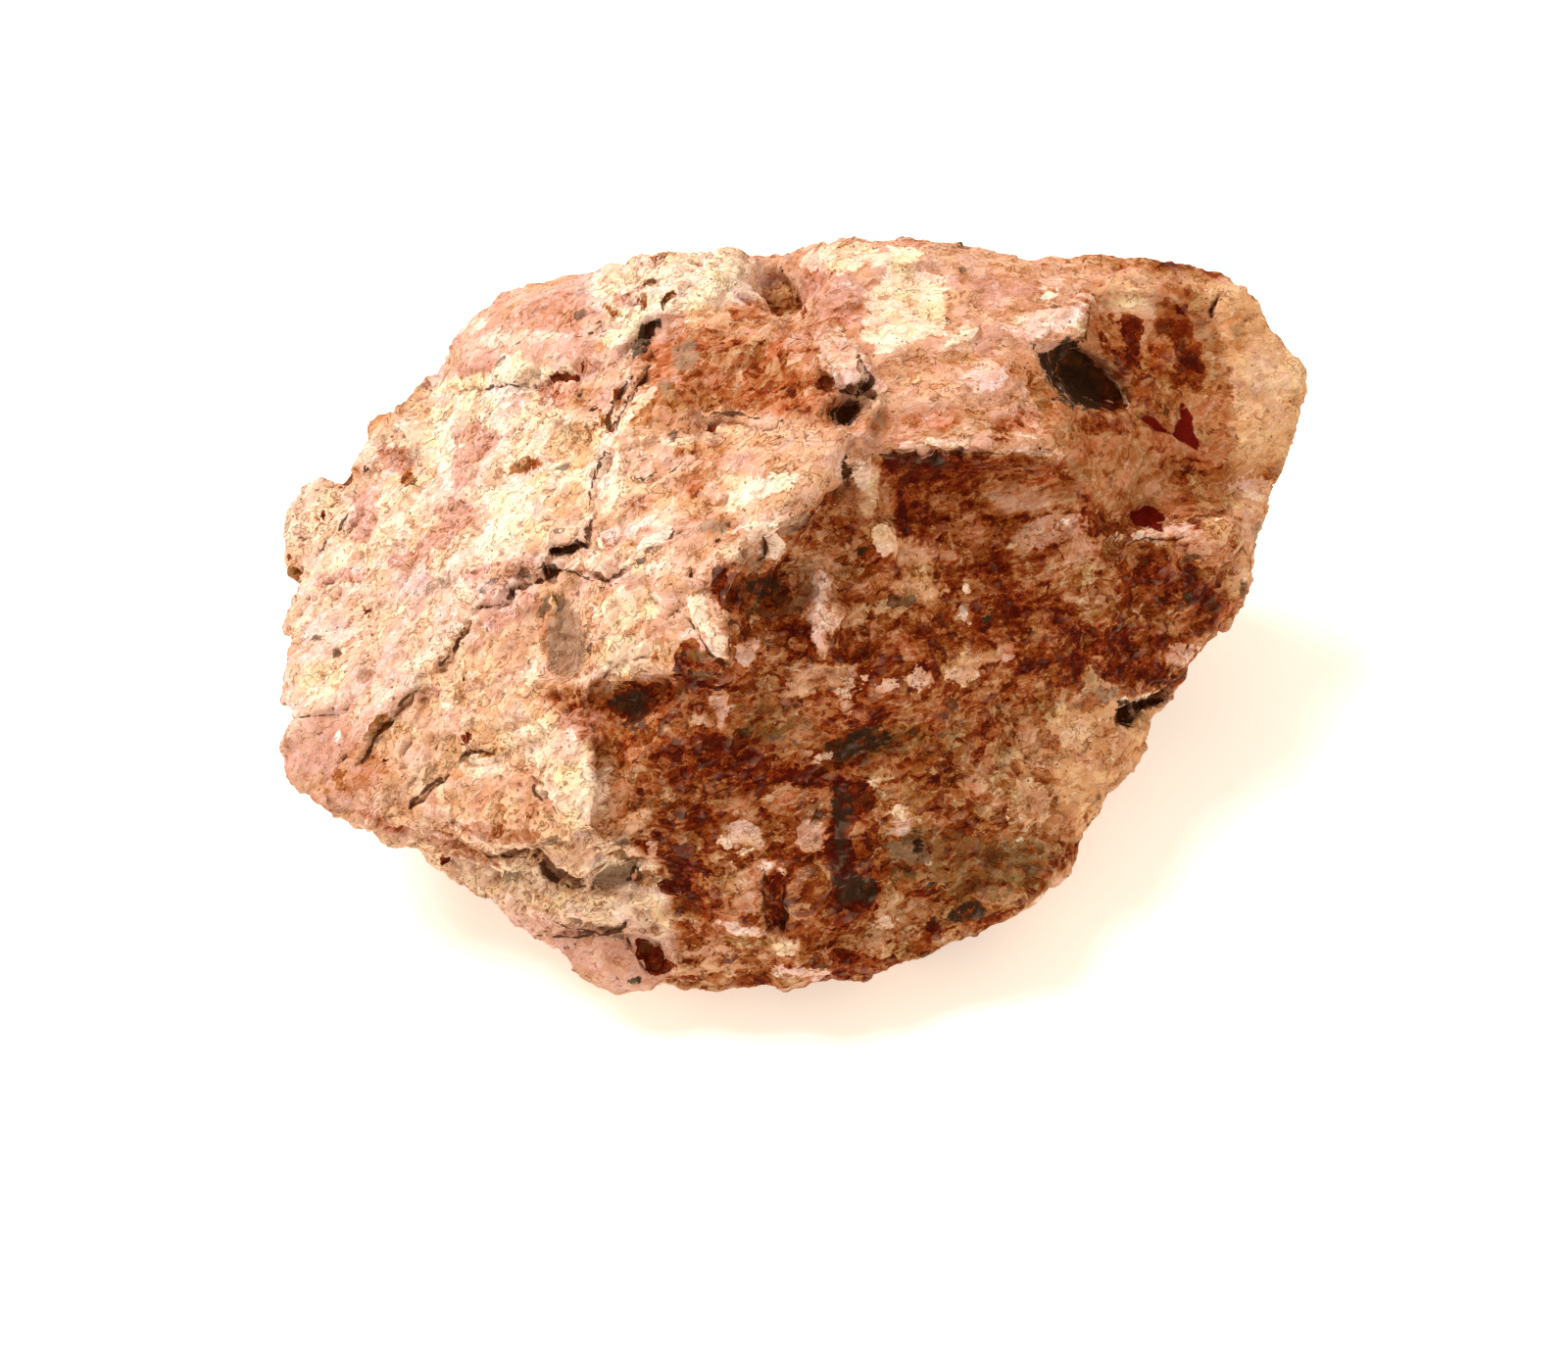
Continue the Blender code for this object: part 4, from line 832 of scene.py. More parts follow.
# The grain of the front begins on the picture's right of this line, in pixels.
FRONT_EDGE = [
    (640, 200), (760, 300), (880, 400), (880, 480), (760, 565), (600, 700), (610, 850), (560, 1100)]

# How far drawn shapes stray, in pixels, so that their edges come out ragged.
FORM_STRAY = 4.5
LINE_STRAY = 3.0
PATCH_STRAY = 5.0
SPOT_STRAY = 3.0

# Where a drawn thing starts and where it is complete, in pixels inside its outline or beside its line.
LEDGE_DROP = (-1.5, 2.5)
LEDGE_END = (-9.0, 13.0)
HOLE_EDGE = (-2.0, 3.0)
SLAB_EDGE = (-2.0, 2.5)
FACE_EDGE = (-9.0, 5.0)
PATCH_EDGE = (-2.0, 2.0)
SPOT_EDGE = (-7.0, 7.0)
SHADE_EDGE = (-8.0, 10.0)
SOFT_EDGE = (-12.0, 12.0)
WIDE_EDGE = (-15.0, 15.0)


# ---------------------------------------------------------------- the stone's mesh

# The two meshes: size of a face in mm, and how often it is smoothed.
FORM_MESH = (0.48, 3)
FINE_MESH = (0.38, 2)
TRIANGLES = 196000  # of the finished stone
HIDDEN_KEPT = 0.5  # the share of its triangles that the side out of view keeps
SHARP = math.radians(52)  # edges from this angle on are shaded crisp

# The flat foot stays as it is. The relief starts and is complete at these heights above the table, in mm.
ABOVE_FOOT = (0.05, 1.2)
FOOT_TOP = 0.25
FACING_DOWN = -0.6

# How squarely the surface faces the camera where a move of the stone's edge starts, and is complete.
EDGE_FACING = (-0.7, -0.3)

# The broken surface. Terraces: size in mm, steps per swing, height of one step in mm, and seed.
# Flakes: size and height in mm, and seed. The rest are heights and depths in mm.
TERRACES = ((8.0, 2.4, 0.42, 201), (3.4, 2.4, 0.28, 211), (1.7, 2.0, 0.08, 221))
FLAKES = ((4.6, 0.30, 3), (2.2, 0.18, 8), (1.1, 0.05, 21))
ROUGHNESS = 0.05
STREAK_HEIGHT = 0.07
PIT_DEPTH = 0.35
WINE_RED_DEPTH = 0.5


def baked(stone):
    """Replaces the stone's mesh by what its modifiers make of it."""
    graph = bpy.context.evaluated_depsgraph_get()
    mesh = bpy.data.meshes.new_from_object(stone.evaluated_get(graph))
    stone.modifiers.clear()
    old = stone.data
    stone.data = mesh
    bpy.data.meshes.remove(old)


def read(stone):
    """The places of the mesh's points in mm, and their normals."""
    count = len(stone.data.vertices)
    points = np.zeros(count * 3)
    normals = np.zeros(count * 3)
    stone.data.vertices.foreach_get("co", points)
    stone.data.vertices.foreach_get("normal", normals)
    return points.reshape(-1, 3) / MM, normals.reshape(-1, 3)


def write(stone, points):
    """Moves the mesh's points to these places, in mm."""
    stone.data.vertices.foreach_set("co", (points * MM).ravel())
    stone.data.update()


def stray(points, size, seeds):
    """How far drawn things stray at each point: from about -1 to 1, across and down."""
    return np.stack([rough_noise(points / size, 3, seed) for seed in seeds], axis=1)


def line_stray(points):
    return stray(points, 1.7, (91, 95))


def swells(points, normals):
    """How far each point moves to bring the stone's edge to that of the photograph."""
    ways = points - EYE
    facing = -(normals * ways).sum(axis=1) / np.linalg.norm(ways, axis=1)
    places = pixels(points)
    moves = np.zeros_like(points)
    for move, oval in SWELLS.values():
        share = step(*SOFT_EDGE, in_oval(places, oval)) * step(*EDGE_FACING, facing)
        moves += np.outer(share, move)
    return moves


def large_forms(points, normals):
    """How far each point moves away from the camera for the ledges and holes, and outwards for the slabs."""
    in_view = seen(points, normals)
    drawn = pixels(points) + FORM_STRAY * line_stray(points)
    push = np.zeros(len(points))
    for line in LEDGES.values():
        _, away, drop = from_line(drawn, line)
        push += drop * (step(*LEDGE_DROP, away) - step(*LEDGE_END, away))
    for depth, outline in HOLES.values():
        push += depth * step(*HOLE_EDGE, in_face(drawn, outline))
    lift = np.zeros(len(points))
    for height, outline in SLABS.values():
        lift += height * step(*SLAB_EDGE, in_face(drawn, outline))
    return push * in_view, lift * in_view


def relief(points, normals):
    """How far each point of the fine surface stands out, in mm."""
    in_view = seen(points, normals)
    bent = points + 0.5 * three_noises(points / 4.0, 5)
    drawn = pixels(points)
    crumbly = np.ones(len(points))
    for _, _, share, outline in FACES.values():
        crumbly += (share - crumbly) * step(*SOFT_EDGE, in_face(drawn, outline)) * in_view
    front = front_share(points, drawn, in_view)
    on_left = stretched(bent, LEFT_GRAIN, RELIEF_STRETCH)
    on_front = stretched(bent, FRONT_GRAIN, RELIEF_STRETCH)
    grain = np.where((front > 0.5)[:, None], on_front, on_left)
    height = np.zeros(len(points))
    for size, levels, amount, seed in TERRACES:
        height += amount * terraces(grain / size, levels, seed)
    for size, amount, seed in FLAKES:
        height += amount * flakes(grain, size, seed)
    height += ROUGHNESS * rough_noise(points / 1.3, 3, 61)
    height += STREAK_HEIGHT * rough_noise(stretched(points, FRONT_GRAIN, STREAK_STRETCH) / 1.1, 2, 71) * front
    pits = step(0.40, 0.60, rough_noise(grain / 1.6, 3, 81)) * step(0.0, 0.4, soft_noise(points / 8.0, 83))
    height -= PIT_DEPTH * pits
    height *= crumbly

    # A crack is a groove with sloping sides, and a narrow one is shallower than its named depth.
    strayed = drawn + LINE_STRAY * line_stray(points)
    width_share = crack_width(points)
    for depth, line in CRACKS.values():
        _, away, width = from_line(strayed, line)
        half = 0.5 * width * width_share
        share = np.minimum(1.0, 0.3 + half / 3.0)
        height -= depth * in_view * share * (1.0 - step(0.5 * half, 2.0 + 1.3 * half, np.abs(away)))
    for outline in WINE_RED:
        height -= WINE_RED_DEPTH * in_view * step(*HOLE_EDGE, in_face(strayed, outline))
    for half, out, line in VEINS.values():
        height += out * in_view * (1.0 - step(0.4 * half, 1.2 * half, np.abs(to_line(strayed, line))))
    return height


def crack_width(points):
    """A crack's width along its run, as a share of its named width."""
    return np.clip(0.95 + 0.7 * rough_noise(points / 2.0, 2, 181), 0.5, 1.6)


def front_share(points, drawn, in_view):
    """Which grain a place has: 0 that of the left side, 1 that of the front and the right."""
    in_picture = step(*SOFT_EDGE, -to_line(drawn, FRONT_EDGE))
    hidden = step(-0.1, 0.1, soft_noise(points / 26.0, 17))
    return in_picture * in_view + hidden * (1 - in_view)


def refine(stone, voxel, smoothing):
    """Replaces the stone's mesh by an even one of small faces."""
    fine = stone.modifiers.new("fine", "REMESH")
    fine.mode = "VOXEL"
    fine.voxel_size = voxel * MM * 1.0
    even = stone.modifiers.new("even", "SMOOTH")
    even.factor = 0.5
    even.iterations = smoothing
    baked(stone)


def thin_out(stone, share, group=""):
    """Keeps this share of the triangles, and takes those of the named group's points only."""
    thin = stone.modifiers.new("thin", "DECIMATE")
    thin.use_collapse_triangulate = True
    thin.vertex_group = group
    thin.vertex_group_factor = 0.0
    thin.ratio = min(1.0, share)
    baked(stone)


def make_stone(cad):
    """The fine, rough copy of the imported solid's surface."""
    stone = bpy.data.objects.new("stone", cad.data.copy())
    bpy.context.scene.collection.objects.link(stone)
    refine(stone, *FORM_MESH)
    points, normals = read(stone)
    above = step(*ABOVE_FOOT, points[:, 2])[:, None]
    points = points + swells(points, normals) * above
    points[:, 2] = np.maximum(points[:, 2], 0.0)
    push, lift = large_forms(points, normals)
    write(stone, points + (normals * lift[:, None] - BACK * push[:, None]) * above)

    refine(stone, *FINE_MESH)
    points, normals = read(stone)
    above = step(*ABOVE_FOOT, points[:, 2])
    moved = points + normals * (relief(points, normals) * above)[:, None]
    flat = (points[:, 2] < FOOT_TOP) & (normals[:, 2] < FACING_DOWN)
    moved[flat, 2] = 0.0
    moved[:, 2] = np.maximum(moved[:, 2], 0.0)
    write(stone, moved)

    # The side that the photograph doesn't show is thinned out first.
    far = stone.vertex_groups.new(name="far")
    hidden = seen(*read(stone)) < 0.5
    far.add(np.flatnonzero(hidden).tolist(), 1.0, "REPLACE")
    thin_out(stone, 1.0 - hidden.mean() * (1.0 - HIDDEN_KEPT), far.name)
    thin_out(stone, TRIANGLES / len(stone.data.polygons))
    stone.vertex_groups.clear()
    stone.data.shade_smooth()
    stone.data.set_sharp_from_angle(angle=SHARP)
    return stone


# ---------------------------------------------------------------- what each place is made of

EDGE_REACH = 8.0  # pixels on both sides of a patch's edge, where the material draws it
WINE_RED_REACH = 5.0  # and of the edge of a wine-red mark
PALE_ON_DARK = 0.85  # how pale a pale patch comes out on a dark face, as a share
HOLLOW_ROUNDS = 4  # how often the surface is smoothed to tell what lies in a hollow

# The way to a line: the least half width in pixels, and the way, in half widths, where no line is near.
LEAST_HALF = 0.3
NO_LINE = 9.0

# Spots: the drawn ones, the level of noise from which there are some out of view, and that noise's seeds.
SPOTS = (
    ("quartz", QUARTZ, 0.95, (141, 142, 6)),
    ("mica", MICA, 1.05, (157, 161, 4)),
    ("olive", OLIVE, 0.9, (155, 161, 5)),
)


def keep(mesh, name, values):
    """Keeps a number, or three, per point on the mesh, for the material."""
    if values.ndim == 1:
        layer = mesh.attributes.new(name, "FLOAT", "POINT")
        layer.data.foreach_set("value", values.astype(np.float32))
    else:
        layer = mesh.attributes.new(name, "FLOAT_VECTOR", "POINT")
        layer.data.foreach_set("vector", values.astype(np.float32).ravel())


def hollows(mesh, points, normals):
    """How deep each point lies in a hollow of about a millimetre, in mm; less than 0 where it stands out."""
    count = len(points)
    ends = np.zeros(len(mesh.edges) * 2, np.int64)
    mesh.edges.foreach_get("vertices", ends)
    a, b = ends.reshape(-1, 2).T
    joined = np.bincount(a, minlength=count) + np.bincount(b, minlength=count)
    mean = points.copy()
    for _ in range(HOLLOW_ROUNDS):
        total = np.zeros_like(mean)
        for axis in range(3):
            total[:, axis] = np.bincount(a, mean[b, axis], count) + np.bincount(b, mean[a, axis], count)
        mean = 0.5 * mean + 0.5 * total / np.maximum(joined, 1)[:, None]
    return ((mean - points) * normals).sum(axis=1)


def painted(points, normals):
    """The named values of each point: what colour the feldspar is, and what else there is."""
    in_view = seen(points, normals)
    drawn = pixels(points)
    ragged = stray(points, 1.8, (101, 111))
    places = drawn + PATCH_STRAY * ragged

    # Out of view the colours are noise.
    tone = 0.66 + 0.28 * rough_noise(points / 15.0, 3, 121)
    warmth = 0.10 + 0.8 * rough_noise(points / 12.0, 2, 131)
    front = front_share(points, drawn, in_view)
    tone -= 0.20 * front * (1 - in_view)

    crumbly = np.ones(len(points))
    for face_tone, face_warmth, share, corners in FACES.values():
        cover = step(*FACE_EDGE, in_face(places, corners)) * in_view
        tone += (face_tone - tone) * cover
        warmth += (face_warmth - warmth) * cover
        crumbly += (share - crumbly) * cover

    # Each patch is kept as how far inside it a point is, so that its edge can be drawn finer than the mesh.
    patch = np.full(len(points), -EDGE_REACH)
    ground = tone.copy()
    patch_tone = tone.copy()
    for name, shapes in PATCHES:
        new_tone, new_warmth = COLOURS[name]
        for shape in shapes:
            depth = inside(places, shape)
            near = (depth > -EDGE_REACH) & (in_view > DRAWN_FROM)
            tone[near] = np.where(patch > 0, patch_tone, tone)[near]
            paler = np.maximum(new_tone - ground, 0.0) * (1.0 - PALE_ON_DARK) * step(0.60, 0.45, ground)
            patch_tone[near] = (new_tone - paler)[near]
            patch[near] = depth[near]
            warmth += (new_warmth - warmth) * step(*PATCH_EDGE, depth) * in_view
    patch = np.minimum(patch, EDGE_REACH) / PIXELS_PER_MM
    # Broad paler and darker parts: partly the stone's own tone, partly painted light and shade.
    for change, ovals in SHADES.items():
        for oval in ovals:
            shade = change * step(*SHADE_EDGE, in_oval(places, oval)) * in_view
            tone += shade
            patch_tone += shade
    silky = step(*WIDE_EDGE, in_face(places, FACES["silky_face"][3])) * in_view
    values = {"tone": tone, "warmth": warmth, "front": front, "crumbly": crumbly, "silky": silky,
              "patch": patch, "patch_tone": patch_tone}

    # Out of view, and not in the undercut, the spots are noise as well.
    turned_away = (1 - in_view) ** 3 * (1 - step(*WIDE_EDGE, in_face(places, FACES["undercut"][3])))
    fine_places = drawn + SPOT_STRAY * ragged
    for name, marks, level, (small, large, middling) in SPOTS:
        amount = np.zeros(len(points))
        for strength, shapes in marks.items():
            for shape in shapes:
                amount = np.maximum(amount, strength * in_view * step(*SPOT_EDGE, inside(fine_places, shape)))
        spots = soft_noise(points / 3.2, small) * 0.6 + soft_noise(points / 11.0, large)
        hidden = step(level, level + 0.25, spots + 0.4 * soft_noise(points / 5.0, middling))
        values[name] = np.maximum(amount, hidden * turned_away)

    strayed = drawn + LINE_STRAY * line_stray(points)
    cracks = [line for _, line in CRACKS.values()]
    values["crack"] = way_to_lines(strayed, cracks, 0.5 * crack_width(points), in_view)
    veins = [[(*place, 2.0 * half) for place in line] for half, _, line in VEINS.values()]
    values["vein"] = way_to_lines(strayed, veins, 0.5, in_view)
    wine = np.max([in_face(strayed, outline) for outline in WINE_RED], axis=0)
    wine = np.where(in_view > DRAWN_FROM, np.clip(wine, -WINE_RED_REACH, WINE_RED_REACH), -WINE_RED_REACH)
    values["wine_red"] = wine / PIXELS_PER_MM
    return values


def way_to_lines(places, lines, share, in_view):
    """The way to the nearest of some lines, in half widths of that line.

    Its length is less than 1 inside a line, however coarse the mesh is, because the two values pass
    through 0 there. The third value is above 0 away from the lines, where the way jumps.
    """
    best = np.full(len(places), 1e9)
    out = np.zeros((len(places), 3))
    for line in lines:
        ways, distance, width = from_line(places, line)
        half = np.maximum(width * share, LEAST_HALF)
        closer = np.abs(distance) / half < best
        best[closer] = (np.abs(distance) / half)[closer]
        out[closer, :2] = (ways / half[:, None])[closer]
    out[:, 2] = NO_LINE * np.maximum(step(2.2, 4.0, best), 1.0 - step(0.1, 0.5, in_view))
    return np.clip(out, -NO_LINE, NO_LINE)


# ---------------------------------------------------------------- the material

MIX_SOCKETS = {"FLOAT": (2, 3, 0), "VECTOR": (4, 5, 1), "RGBA": (6, 7, 2)}  # first, second, result


class Nodes:
    """Adds shader nodes to one material and joins them up."""

    def __init__(self, material):
        material.use_nodes = True
        self.tree = material.node_tree
        self.shader = self.tree.nodes["Principled BSDF"]

    def add(self, kind, **settings):
        node = self.tree.nodes.new(kind)
        for name, value in settings.items():
            setattr(node, name, value)
        return node

    def put(self, value, socket):
        if isinstance(value, bpy.types.NodeSocket):
            self.tree.links.new(value, socket)
        else:
            socket.default_value = value

    def put_all(self, values, sockets):
        for value, socket in zip(values, sockets):
            self.put(value, socket)

    def math(self, operation, *values, clamp=False):
        node = self.add("ShaderNodeMath", operation=operation, use_clamp=clamp)
        self.put_all(values, node.inputs)
        return node.outputs[0]

    def total(self, *values):
        result = values[0]
        for value in values[1:]:
            result = self.math("ADD", result, value)
        return result

    def times(self, *values):
        result = values[0]
        for value in values[1:]:
            result = self.math("MULTIPLY", result, value)
        return result

    def around(self, value, amount, middle=0.5):
        """The value's swing about its middle, times the amount."""
        return self.times(self.math("SUBTRACT", value, middle), amount)

    def rise(self, low, high, value, start=0.0, end=1.0):
        """A smooth rise from start to end while the value goes from low to high."""
        node = self.add("ShaderNodeMapRange", interpolation_type="SMOOTHSTEP")
        self.put_all((value, low, high, start, end), node.inputs)
        return node.outputs[0]

    def mix(self, kind, factor, first, second, blend="MIX"):
        """Two numbers, vectors or colours, mixed."""
        node = self.add("ShaderNodeMix", data_type=kind, blend_type=blend)
        at_first, at_second, result = MIX_SOCKETS[kind]
        self.put_all((factor, first, second), (node.inputs[0], node.inputs[at_first], node.inputs[at_second]))
        return node.outputs[result]

    def blend(self, factor, first, second):
        """Two numbers, mixed."""
        return self.mix("FLOAT", factor, first, second)

    def cover(self, factor, ground, colour):
        """The colour laid over the ground's, by this factor."""
        return self.mix("RGBA", factor, ground, colour)

    def value(self, name, output="Fac"):
        """A value that is kept on the mesh."""
        return self.add("ShaderNodeAttribute", attribute_name=name).outputs[output]

    def vector(self, operation, first, second=None):
        """Vector maths: another vector, or a number for SCALE."""
        node = self.add("ShaderNodeVectorMath", operation=operation)
        self.put(first, node.inputs[0])
        if second is not None:
            self.put(second, node.inputs["Scale" if operation == "SCALE" else 1])
        return node.outputs["Value" if operation in ("DOT_PRODUCT", "LENGTH") else "Vector"]

    def length(self, name):
        """The length of a vector that is kept on the mesh."""
        return self.vector("LENGTH", self.value(name, "Vector"))

    def noise(self, place, size, detail, roughness=0.5):
        node = self.add("ShaderNodeTexNoise")
        self.put(place, node.inputs["Vector"])
        for name, value in (("Scale", 1.0 / size), ("Detail", detail), ("Roughness", roughness)):
            node.inputs[name].default_value = value
        return node.outputs

    def grains(self, place, size):
        node = self.add("ShaderNodeTexVoronoi")
        self.put(place, node.inputs["Vector"])
        node.inputs["Scale"].default_value = 1.0 / size
        return node.outputs

    def ramp(self, value, stops):
        node = self.add("ShaderNodeValToRGB")
        elements = node.color_ramp.elements
        while len(elements) < len(stops):
            elements.new(0.5)
        for element, (place, colour) in zip(elements, stops):
            element.position = place
            element.color = (*colour, 1.0)
        self.put(value, node.inputs[0])
        return node.outputs[0]

    def drawn_along(self, place, direction, factor):
        """The place with one direction squeezed, so that a texture there is drawn out along it."""
        direction = tuple(direction)
        amount = self.times(self.vector("DOT_PRODUCT", place, direction), -(1.0 - 1.0 / factor))
        return self.vector("ADD", place, self.vector("SCALE", direction, amount))


# The feldspar's colour by its tone, from 0 dark red to 1 near white.
MAIN_RAMP = [
    (0.00, (0.060, 0.0040, 0.0010)),
    (0.10, (0.105, 0.0080, 0.0010)),
    (0.20, (0.175, 0.0220, 0.0020)),
    (0.30, (0.268, 0.0560, 0.0080)),
    (0.40, (0.375, 0.1250, 0.0390)),
    (0.50, (0.478, 0.2100, 0.0980)),
    (0.60, (0.570, 0.3050, 0.1870)),
    (0.70, (0.650, 0.3950, 0.2700)),
    (0.80, (0.740, 0.5100, 0.3850)),
    (0.90, (0.830, 0.6500, 0.5250)),
    (1.00, (0.920, 0.8000, 0.6700)),
]

# What the least and the most warmth make of that colour: on pale ground the first two, on dark the others.
MAUVE_SHIFT = (1.02, 0.93, 1.10, 1.0)
TAN_SHIFT = (1.10, 1.01, 0.76, 1.0)
RED_SHIFT = (1.06, 0.80, 0.80, 1.0)
OLIVE_SHIFT = (0.93, 1.12, 0.96, 1.0)

QUARTZ_COLOUR = (0.37, 0.26, 0.18, 1.0)
DARK_QUARTZ_COLOUR = (0.20, 0.12, 0.07, 1.0)
# dark specks, and the painted shadows along the terrace steps
SPECK_AND_SHADOW_COLOUR = (0.12, 0.045, 0.016, 1.0)
WORN_COLOUR = (0.70, 0.52, 0.38, 1.0)
MICA_COLOUR = (0.040, 0.017, 0.008, 1.0)
# olive-brown crust, also laid as painted shade in small recesses
OLIVE_COLOUR = (0.16, 0.095, 0.028, 1.0)
# dirt and painted shade in the hollows
CREVICE_COLOUR = (0.20, 0.065, 0.020, 1.0)
CRACK_COLOUR = (0.080, 0.026, 0.008, 1.0)
WINE_RED_COLOUR = (0.13, 0.005, 0.002, 1.0)

# How much of the ground each of them hides at most.
VEIN_COVER = 0.8
QUARTZ_COVER = 0.65
OLIVE_COVER = 0.65
FLECK_COVER = 0.7
# dirt and painted shade in the hollows
DIRT_AND_SHADE_COVER = 0.62
WORN_COVER = 0.15
# painted shadows along the terrace steps, and the specks that carry them too
STEP_SHADOW_COVER = 0.35
SPECK_AND_SHADOW_COVER = 0.75
CRACK_COVER = 0.88

VEIN_TONE = 0.80
WARP = 1.1  # mm, by which the textures are bent
PLATE_SIZE = 1.5  # mm
STAIRS = 8.0  # terraces over the full swing of the patches' noise
STAIR_NUMBER = 0.618  # turns a stair's count into a number from 0 to 1 that looks drawn by lot

# How rough the surface is, and the least; its shine; the shine of the table.
ROUGH = 0.72
LEAST_ROUGH = 0.28
STONE_SPECULAR = 0.04
TABLE_ROUGH = 0.9
TABLE_SPECULAR = 0.2


def feldspar():
    """The broken pink and cream feldspar, with its quartz, mica, crusts, cracks and painted shade in its
    hollows.
    """
    material = bpy.data.materials.new("broken_pegmatite")
    n = Nodes(material)
    place = n.vector("SCALE", n.add("ShaderNodeTexCoord").outputs["Object"], 1.0 / MM)
    middle = (0.5, 0.5, 0.5)
    warp = n.vector("SUBTRACT", n.noise(place, 1.6, 2.0)[1], middle)
    bent = n.vector("ADD", place, n.vector("SCALE", warp, WARP))

    # The textures: size in mm, detail and roughness.
    front = n.value("front")
    on_left = n.drawn_along(bent, LEFT_GRAIN, LEFT_STRETCH)
    on_front = n.drawn_along(bent, FRONT_GRAIN, FRONT_STRETCH)
    along = n.mix("VECTOR", n.math("GREATER_THAN", front, 0.5), on_left, on_front)
    patches = n.noise(along, 2.4, 4.0, 0.62)[0]
    streaks = n.noise(n.drawn_along(place, FRONT_GRAIN, STREAK_STRETCH), 0.45, 3.0, 0.6)[0]
    mottle = n.noise(along, 0.85, 3.0, 0.6)[0]
    crumbs = n.noise(along, 1.4, 4.0, 0.66)[0]
    broad = n.noise(bent, 5.5, 3.0)[0]
    fine = n.noise(place, 0.2, 2.0, 0.6)[0]
    hue = n.noise(bent, 3.3, 3.0)[0]
    specks = n.noise(place, 0.55, 1.0)[0]
    small = n.grains(bent, 0.55)["Color"]

    # The cleavage plates: three numbers for each one, and the height of its tilted face.
    grain = n.grains(along, PLATE_SIZE)
    number = n.add("ShaderNodeSeparateColor")
    n.put(grain["Color"], number.inputs[0])
    which, other, third = number.outputs
    tilt = n.vector("SUBTRACT", grain["Color"], middle)
    facet = n.vector("DOT_PRODUCT", tilt, n.vector("SUBTRACT", along, grain["Position"]))

    # How pale each spot is: the patches have crisp ragged edges, and dark faces are the more mottled.
    edge = n.total(n.value("patch"), n.around(crumbs, 2.4), n.around(mottle, 0.6))
    laid = n.blend(n.rise(-0.04, 0.04, edge), n.value("tone"), n.value("patch_tone"))
    crumbly = n.value("crumbly")
    silky = n.value("silky")
    stair = n.times(patches, STAIRS)
    whole = n.math("FLOOR", stair)
    part = n.math("SUBTRACT", stair, whole)
    stair = n.total(whole, n.rise(0.72, 1.0, part))
    plate = n.math("FRACT", n.times(n.total(whole, other), STAIR_NUMBER))
    pale_crumbs = n.rise(0.585, 0.62, crumbs)
    dark_crumbs = n.rise(0.415, 0.38, crumbs)
    cracked = n.rise(0.50, 0.60, n.total(hue, n.around(crumbly, 0.12, 0.7), n.around(mottle, 0.3)))
    # Painted shadow: a dark line on the low side of each terrace step, as if its riser cast shade.
    step_shadows = n.times(n.rise(0.60, 0.74, part), n.rise(0.90, 0.80, part), cracked,
                   n.rise(0.40, 0.65, laid, 0.3, 1.0))
    swing = n.total(
        n.around(plate, 0.14),
        n.times(front, n.around(broad, 0.34)),
        n.around(mottle, 0.28),
        n.around(which, 0.07),
        n.around(small, 0.10),
        n.around(fine, 0.16),
        n.times(silky, n.around(streaks, 0.40)),
        n.times(pale_crumbs, 0.10),
        n.times(dark_crumbs, -0.12),
        # painted shadow along the terrace steps
        n.times(step_shadows, -0.16),
    )
    contrast = n.times(n.rise(0.32, 0.72, laid, 1.85, 0.95), n.rise(0.3, 0.8, crumbly, 0.75, 1.05))
    tone = n.total(laid, n.times(swing, contrast))
    vein = n.rise(1.25, 0.75, n.total(n.length("vein"), n.around(mottle, 2.4), n.around(fine, 1.0)))
    tone = n.blend(n.times(vein, VEIN_COVER), tone, n.total(VEIN_TONE, n.around(mottle, 0.4)))
    warmth = n.total(n.value("warmth"), n.around(hue, 2.6), n.around(other, 0.8), n.around(mottle, 1.0))
    warm_share = n.math("MULTIPLY_ADD", warmth, 0.5, 0.5, clamp=True)
    dark = n.rise(0.60, 0.45, laid)
    cold_shift = n.cover(dark, MAUVE_SHIFT, RED_SHIFT)
    warm_shift = n.cover(dark, TAN_SHIFT, OLIVE_SHIFT)
    shift = n.cover(warm_share, cold_shift, warm_shift)
    colour = n.mix("RGBA", 1.0, n.ramp(tone, MAIN_RAMP), shift, "MULTIPLY")

    # Quartz, mica and olive-brown marks (partly crust, partly painted shade), with ragged edges.
    ragged = n.total(n.around(mottle, 1.6), n.around(fine, 0.6))
    quartz = n.rise(0.40, 0.60, n.total(n.value("quartz"), ragged))
    quartz_colour = n.cover(n.rise(0.35, 0.65, crumbs), DARK_QUARTZ_COLOUR, QUARTZ_COLOUR)
    colour = n.cover(n.times(quartz, QUARTZ_COVER), colour, quartz_colour)
    # The olive-brown marks are partly crust and partly painted shade in recesses.
    olive = n.rise(0.25, 0.80, n.total(n.value("olive"), ragged))
    colour = n.cover(n.times(olive, OLIVE_COVER), colour, OLIVE_COLOUR)
    mica = n.rise(0.40, 0.60, n.total(n.value("mica"), ragged))
    flecks = n.times(n.rise(0.965, 0.970, third), n.rise(0.50, 0.6, hue))
    mica = n.math("MAXIMUM", mica, n.times(flecks, FLECK_COVER))
    colour = n.cover(mica, colour, MICA_COLOUR)

    # Dirt and painted shade in the hollows, and worn edges.
    hollow = n.value("hollow")
    dirt_and_shade = n.rise(0.04, 0.30, n.total(hollow, n.around(fine, 0.16)))
    colour = n.cover(n.times(dirt_and_shade, DIRT_AND_SHADE_COVER), colour, CREVICE_COLOUR)
    pale_tops = n.rise(0.02, 0.22, n.times(hollow, -1.0))
    colour = n.cover(n.times(pale_tops, WORN_COVER), colour, WORN_COLOUR)
